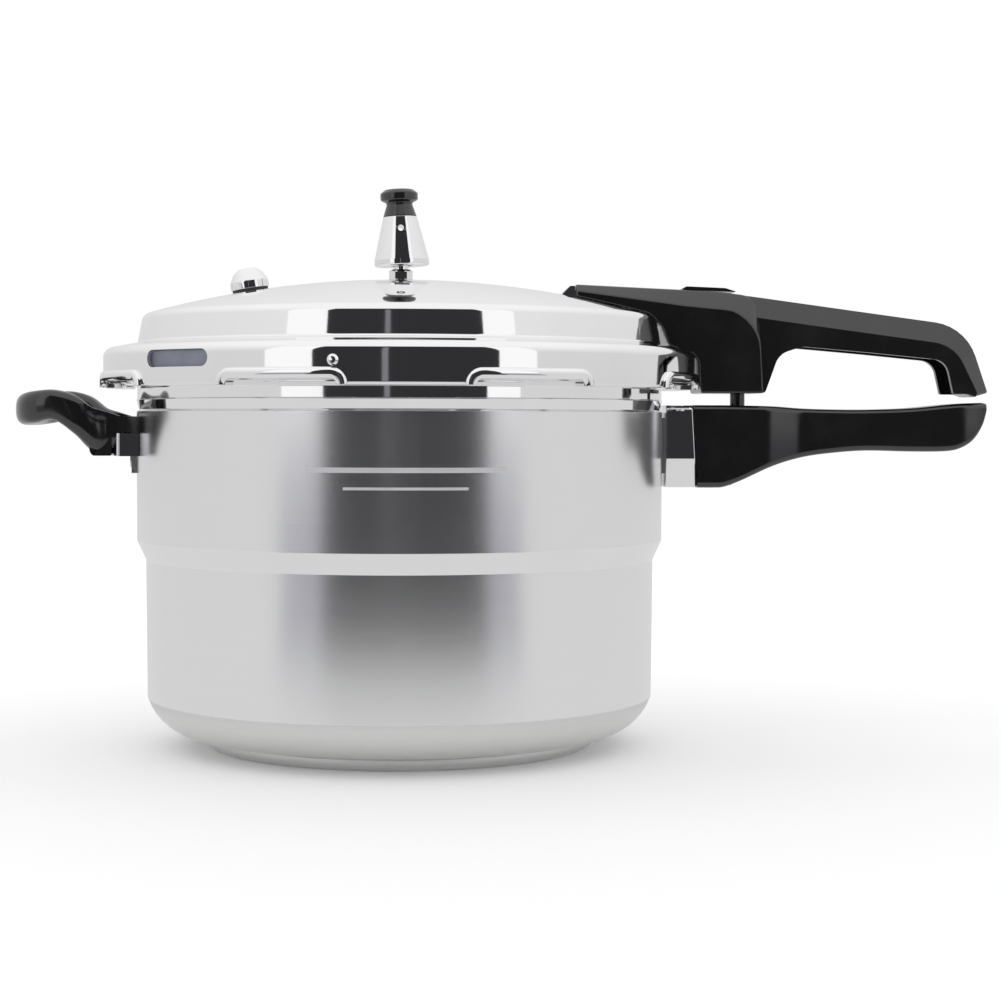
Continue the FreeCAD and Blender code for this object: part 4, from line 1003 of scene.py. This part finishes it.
# ---------------------------------------------------------------- operators and panel
class COOKER_OT_pot(bpy.types.Operator):
    """Spin the stepped pot and its base disc"""
    bl_idname = "cooker.pot"
    bl_label = "Pot"

    def execute(self, context):
        make_pot()
        make_base()
        return {"FINISHED"}


class COOKER_OT_lid(bpy.types.Operator):
    """Spin the lid, cut its window and add its lugs and beads"""
    bl_idname = "cooker.lid"
    bl_label = "Lid"

    def execute(self, context):
        make_lid()
        return {"FINISHED"}


class COOKER_OT_weight(bpy.types.Operator):
    """Turn the pressure weight and its grip"""
    bl_idname = "cooker.weight"
    bl_label = "Pressure weight"

    def execute(self, context):
        make_weight()
        return {"FINISHED"}


class COOKER_OT_valve(bpy.types.Operator):
    """Turn the safety valve's domed nut"""
    bl_idname = "cooker.valve"
    bl_label = "Safety valve"

    def execute(self, context):
        make_safety_valve()
        return {"FINISHED"}


class COOKER_OT_upper_handle(bpy.types.Operator):
    """Make the upper handle's hood and arm, and its lock button"""
    bl_idname = "cooker.upper_handle"
    bl_label = "Upper handle"

    def execute(self, context):
        make_hood()
        make_arm()
        make_lock_button()
        return {"FINISHED"}


class COOKER_OT_lower_handles(bpy.types.Operator):
    """Make the lower long handle with its collar, and the helper grip"""
    bl_idname = "cooker.lower_handles"
    bl_label = "Pot handles"

    def execute(self, context):
        make_lower_grip()
        make_collar()
        make_helper_loop()
        return {"FINISHED"}


class COOKER_OT_finishes(bpy.types.Operator):
    """Give every CAD node that stays its finish"""
    bl_idname = "cooker.finishes"
    bl_label = "Finishes"

    def execute(self, context):
        finish_nodes()
        return {"FINISHED"}


class COOKER_OT_stage(bpy.types.Operator):
    """Make the floor, the reflection cards, the light and the camera"""
    bl_idname = "cooker.stage"
    bl_label = "Stage"

    def execute(self, context):
        make_stage()
        return {"FINISHED"}


class COOKER_PT_panel(bpy.types.Panel):
    """Lists the cooker's operators, sizes and colours"""
    bl_idname = "COOKER_PT_panel"
    bl_label = "Cooker"
    bl_space_type = "VIEW_3D"
    bl_region_type = "UI"
    bl_category = "Cooker"

    def draw(self, context):
        for operator in OPERATORS:
            self.layout.operator(operator.bl_idname)
        for group in (context.scene.cooker_sizes, context.scene.cooker_colours):
            for name in group.bl_rna.properties.keys():
                if name not in ("rna_type", "name"):
                    self.layout.prop(group, name)


OPERATORS = (COOKER_OT_stage, COOKER_OT_pot, COOKER_OT_lid, COOKER_OT_weight, COOKER_OT_valve,
             COOKER_OT_upper_handle, COOKER_OT_lower_handles, COOKER_OT_finishes)
CLASSES = (CookerSizes, CookerColours, *OPERATORS, COOKER_PT_panel)


def register():
    for item in CLASSES:
        bpy.utils.register_class(item)
    bpy.types.Scene.cooker_sizes = bpy.props.PointerProperty(type=CookerSizes)
    bpy.types.Scene.cooker_colours = bpy.props.PointerProperty(type=CookerColours)


def unregister():
    del bpy.types.Scene.cooker_colours
    del bpy.types.Scene.cooker_sizes
    for item in reversed(CLASSES):
        bpy.utils.unregister_class(item)


def main():
    register()
    bpy.ops.cooker.stage()
    bpy.ops.cooker.pot()
    bpy.ops.cooker.lid()
    bpy.ops.cooker.weight()
    bpy.ops.cooker.valve()
    bpy.ops.cooker.upper_handle()
    bpy.ops.cooker.lower_handles()
    bpy.ops.cooker.finishes()


if __name__ == "__main__":
    main()
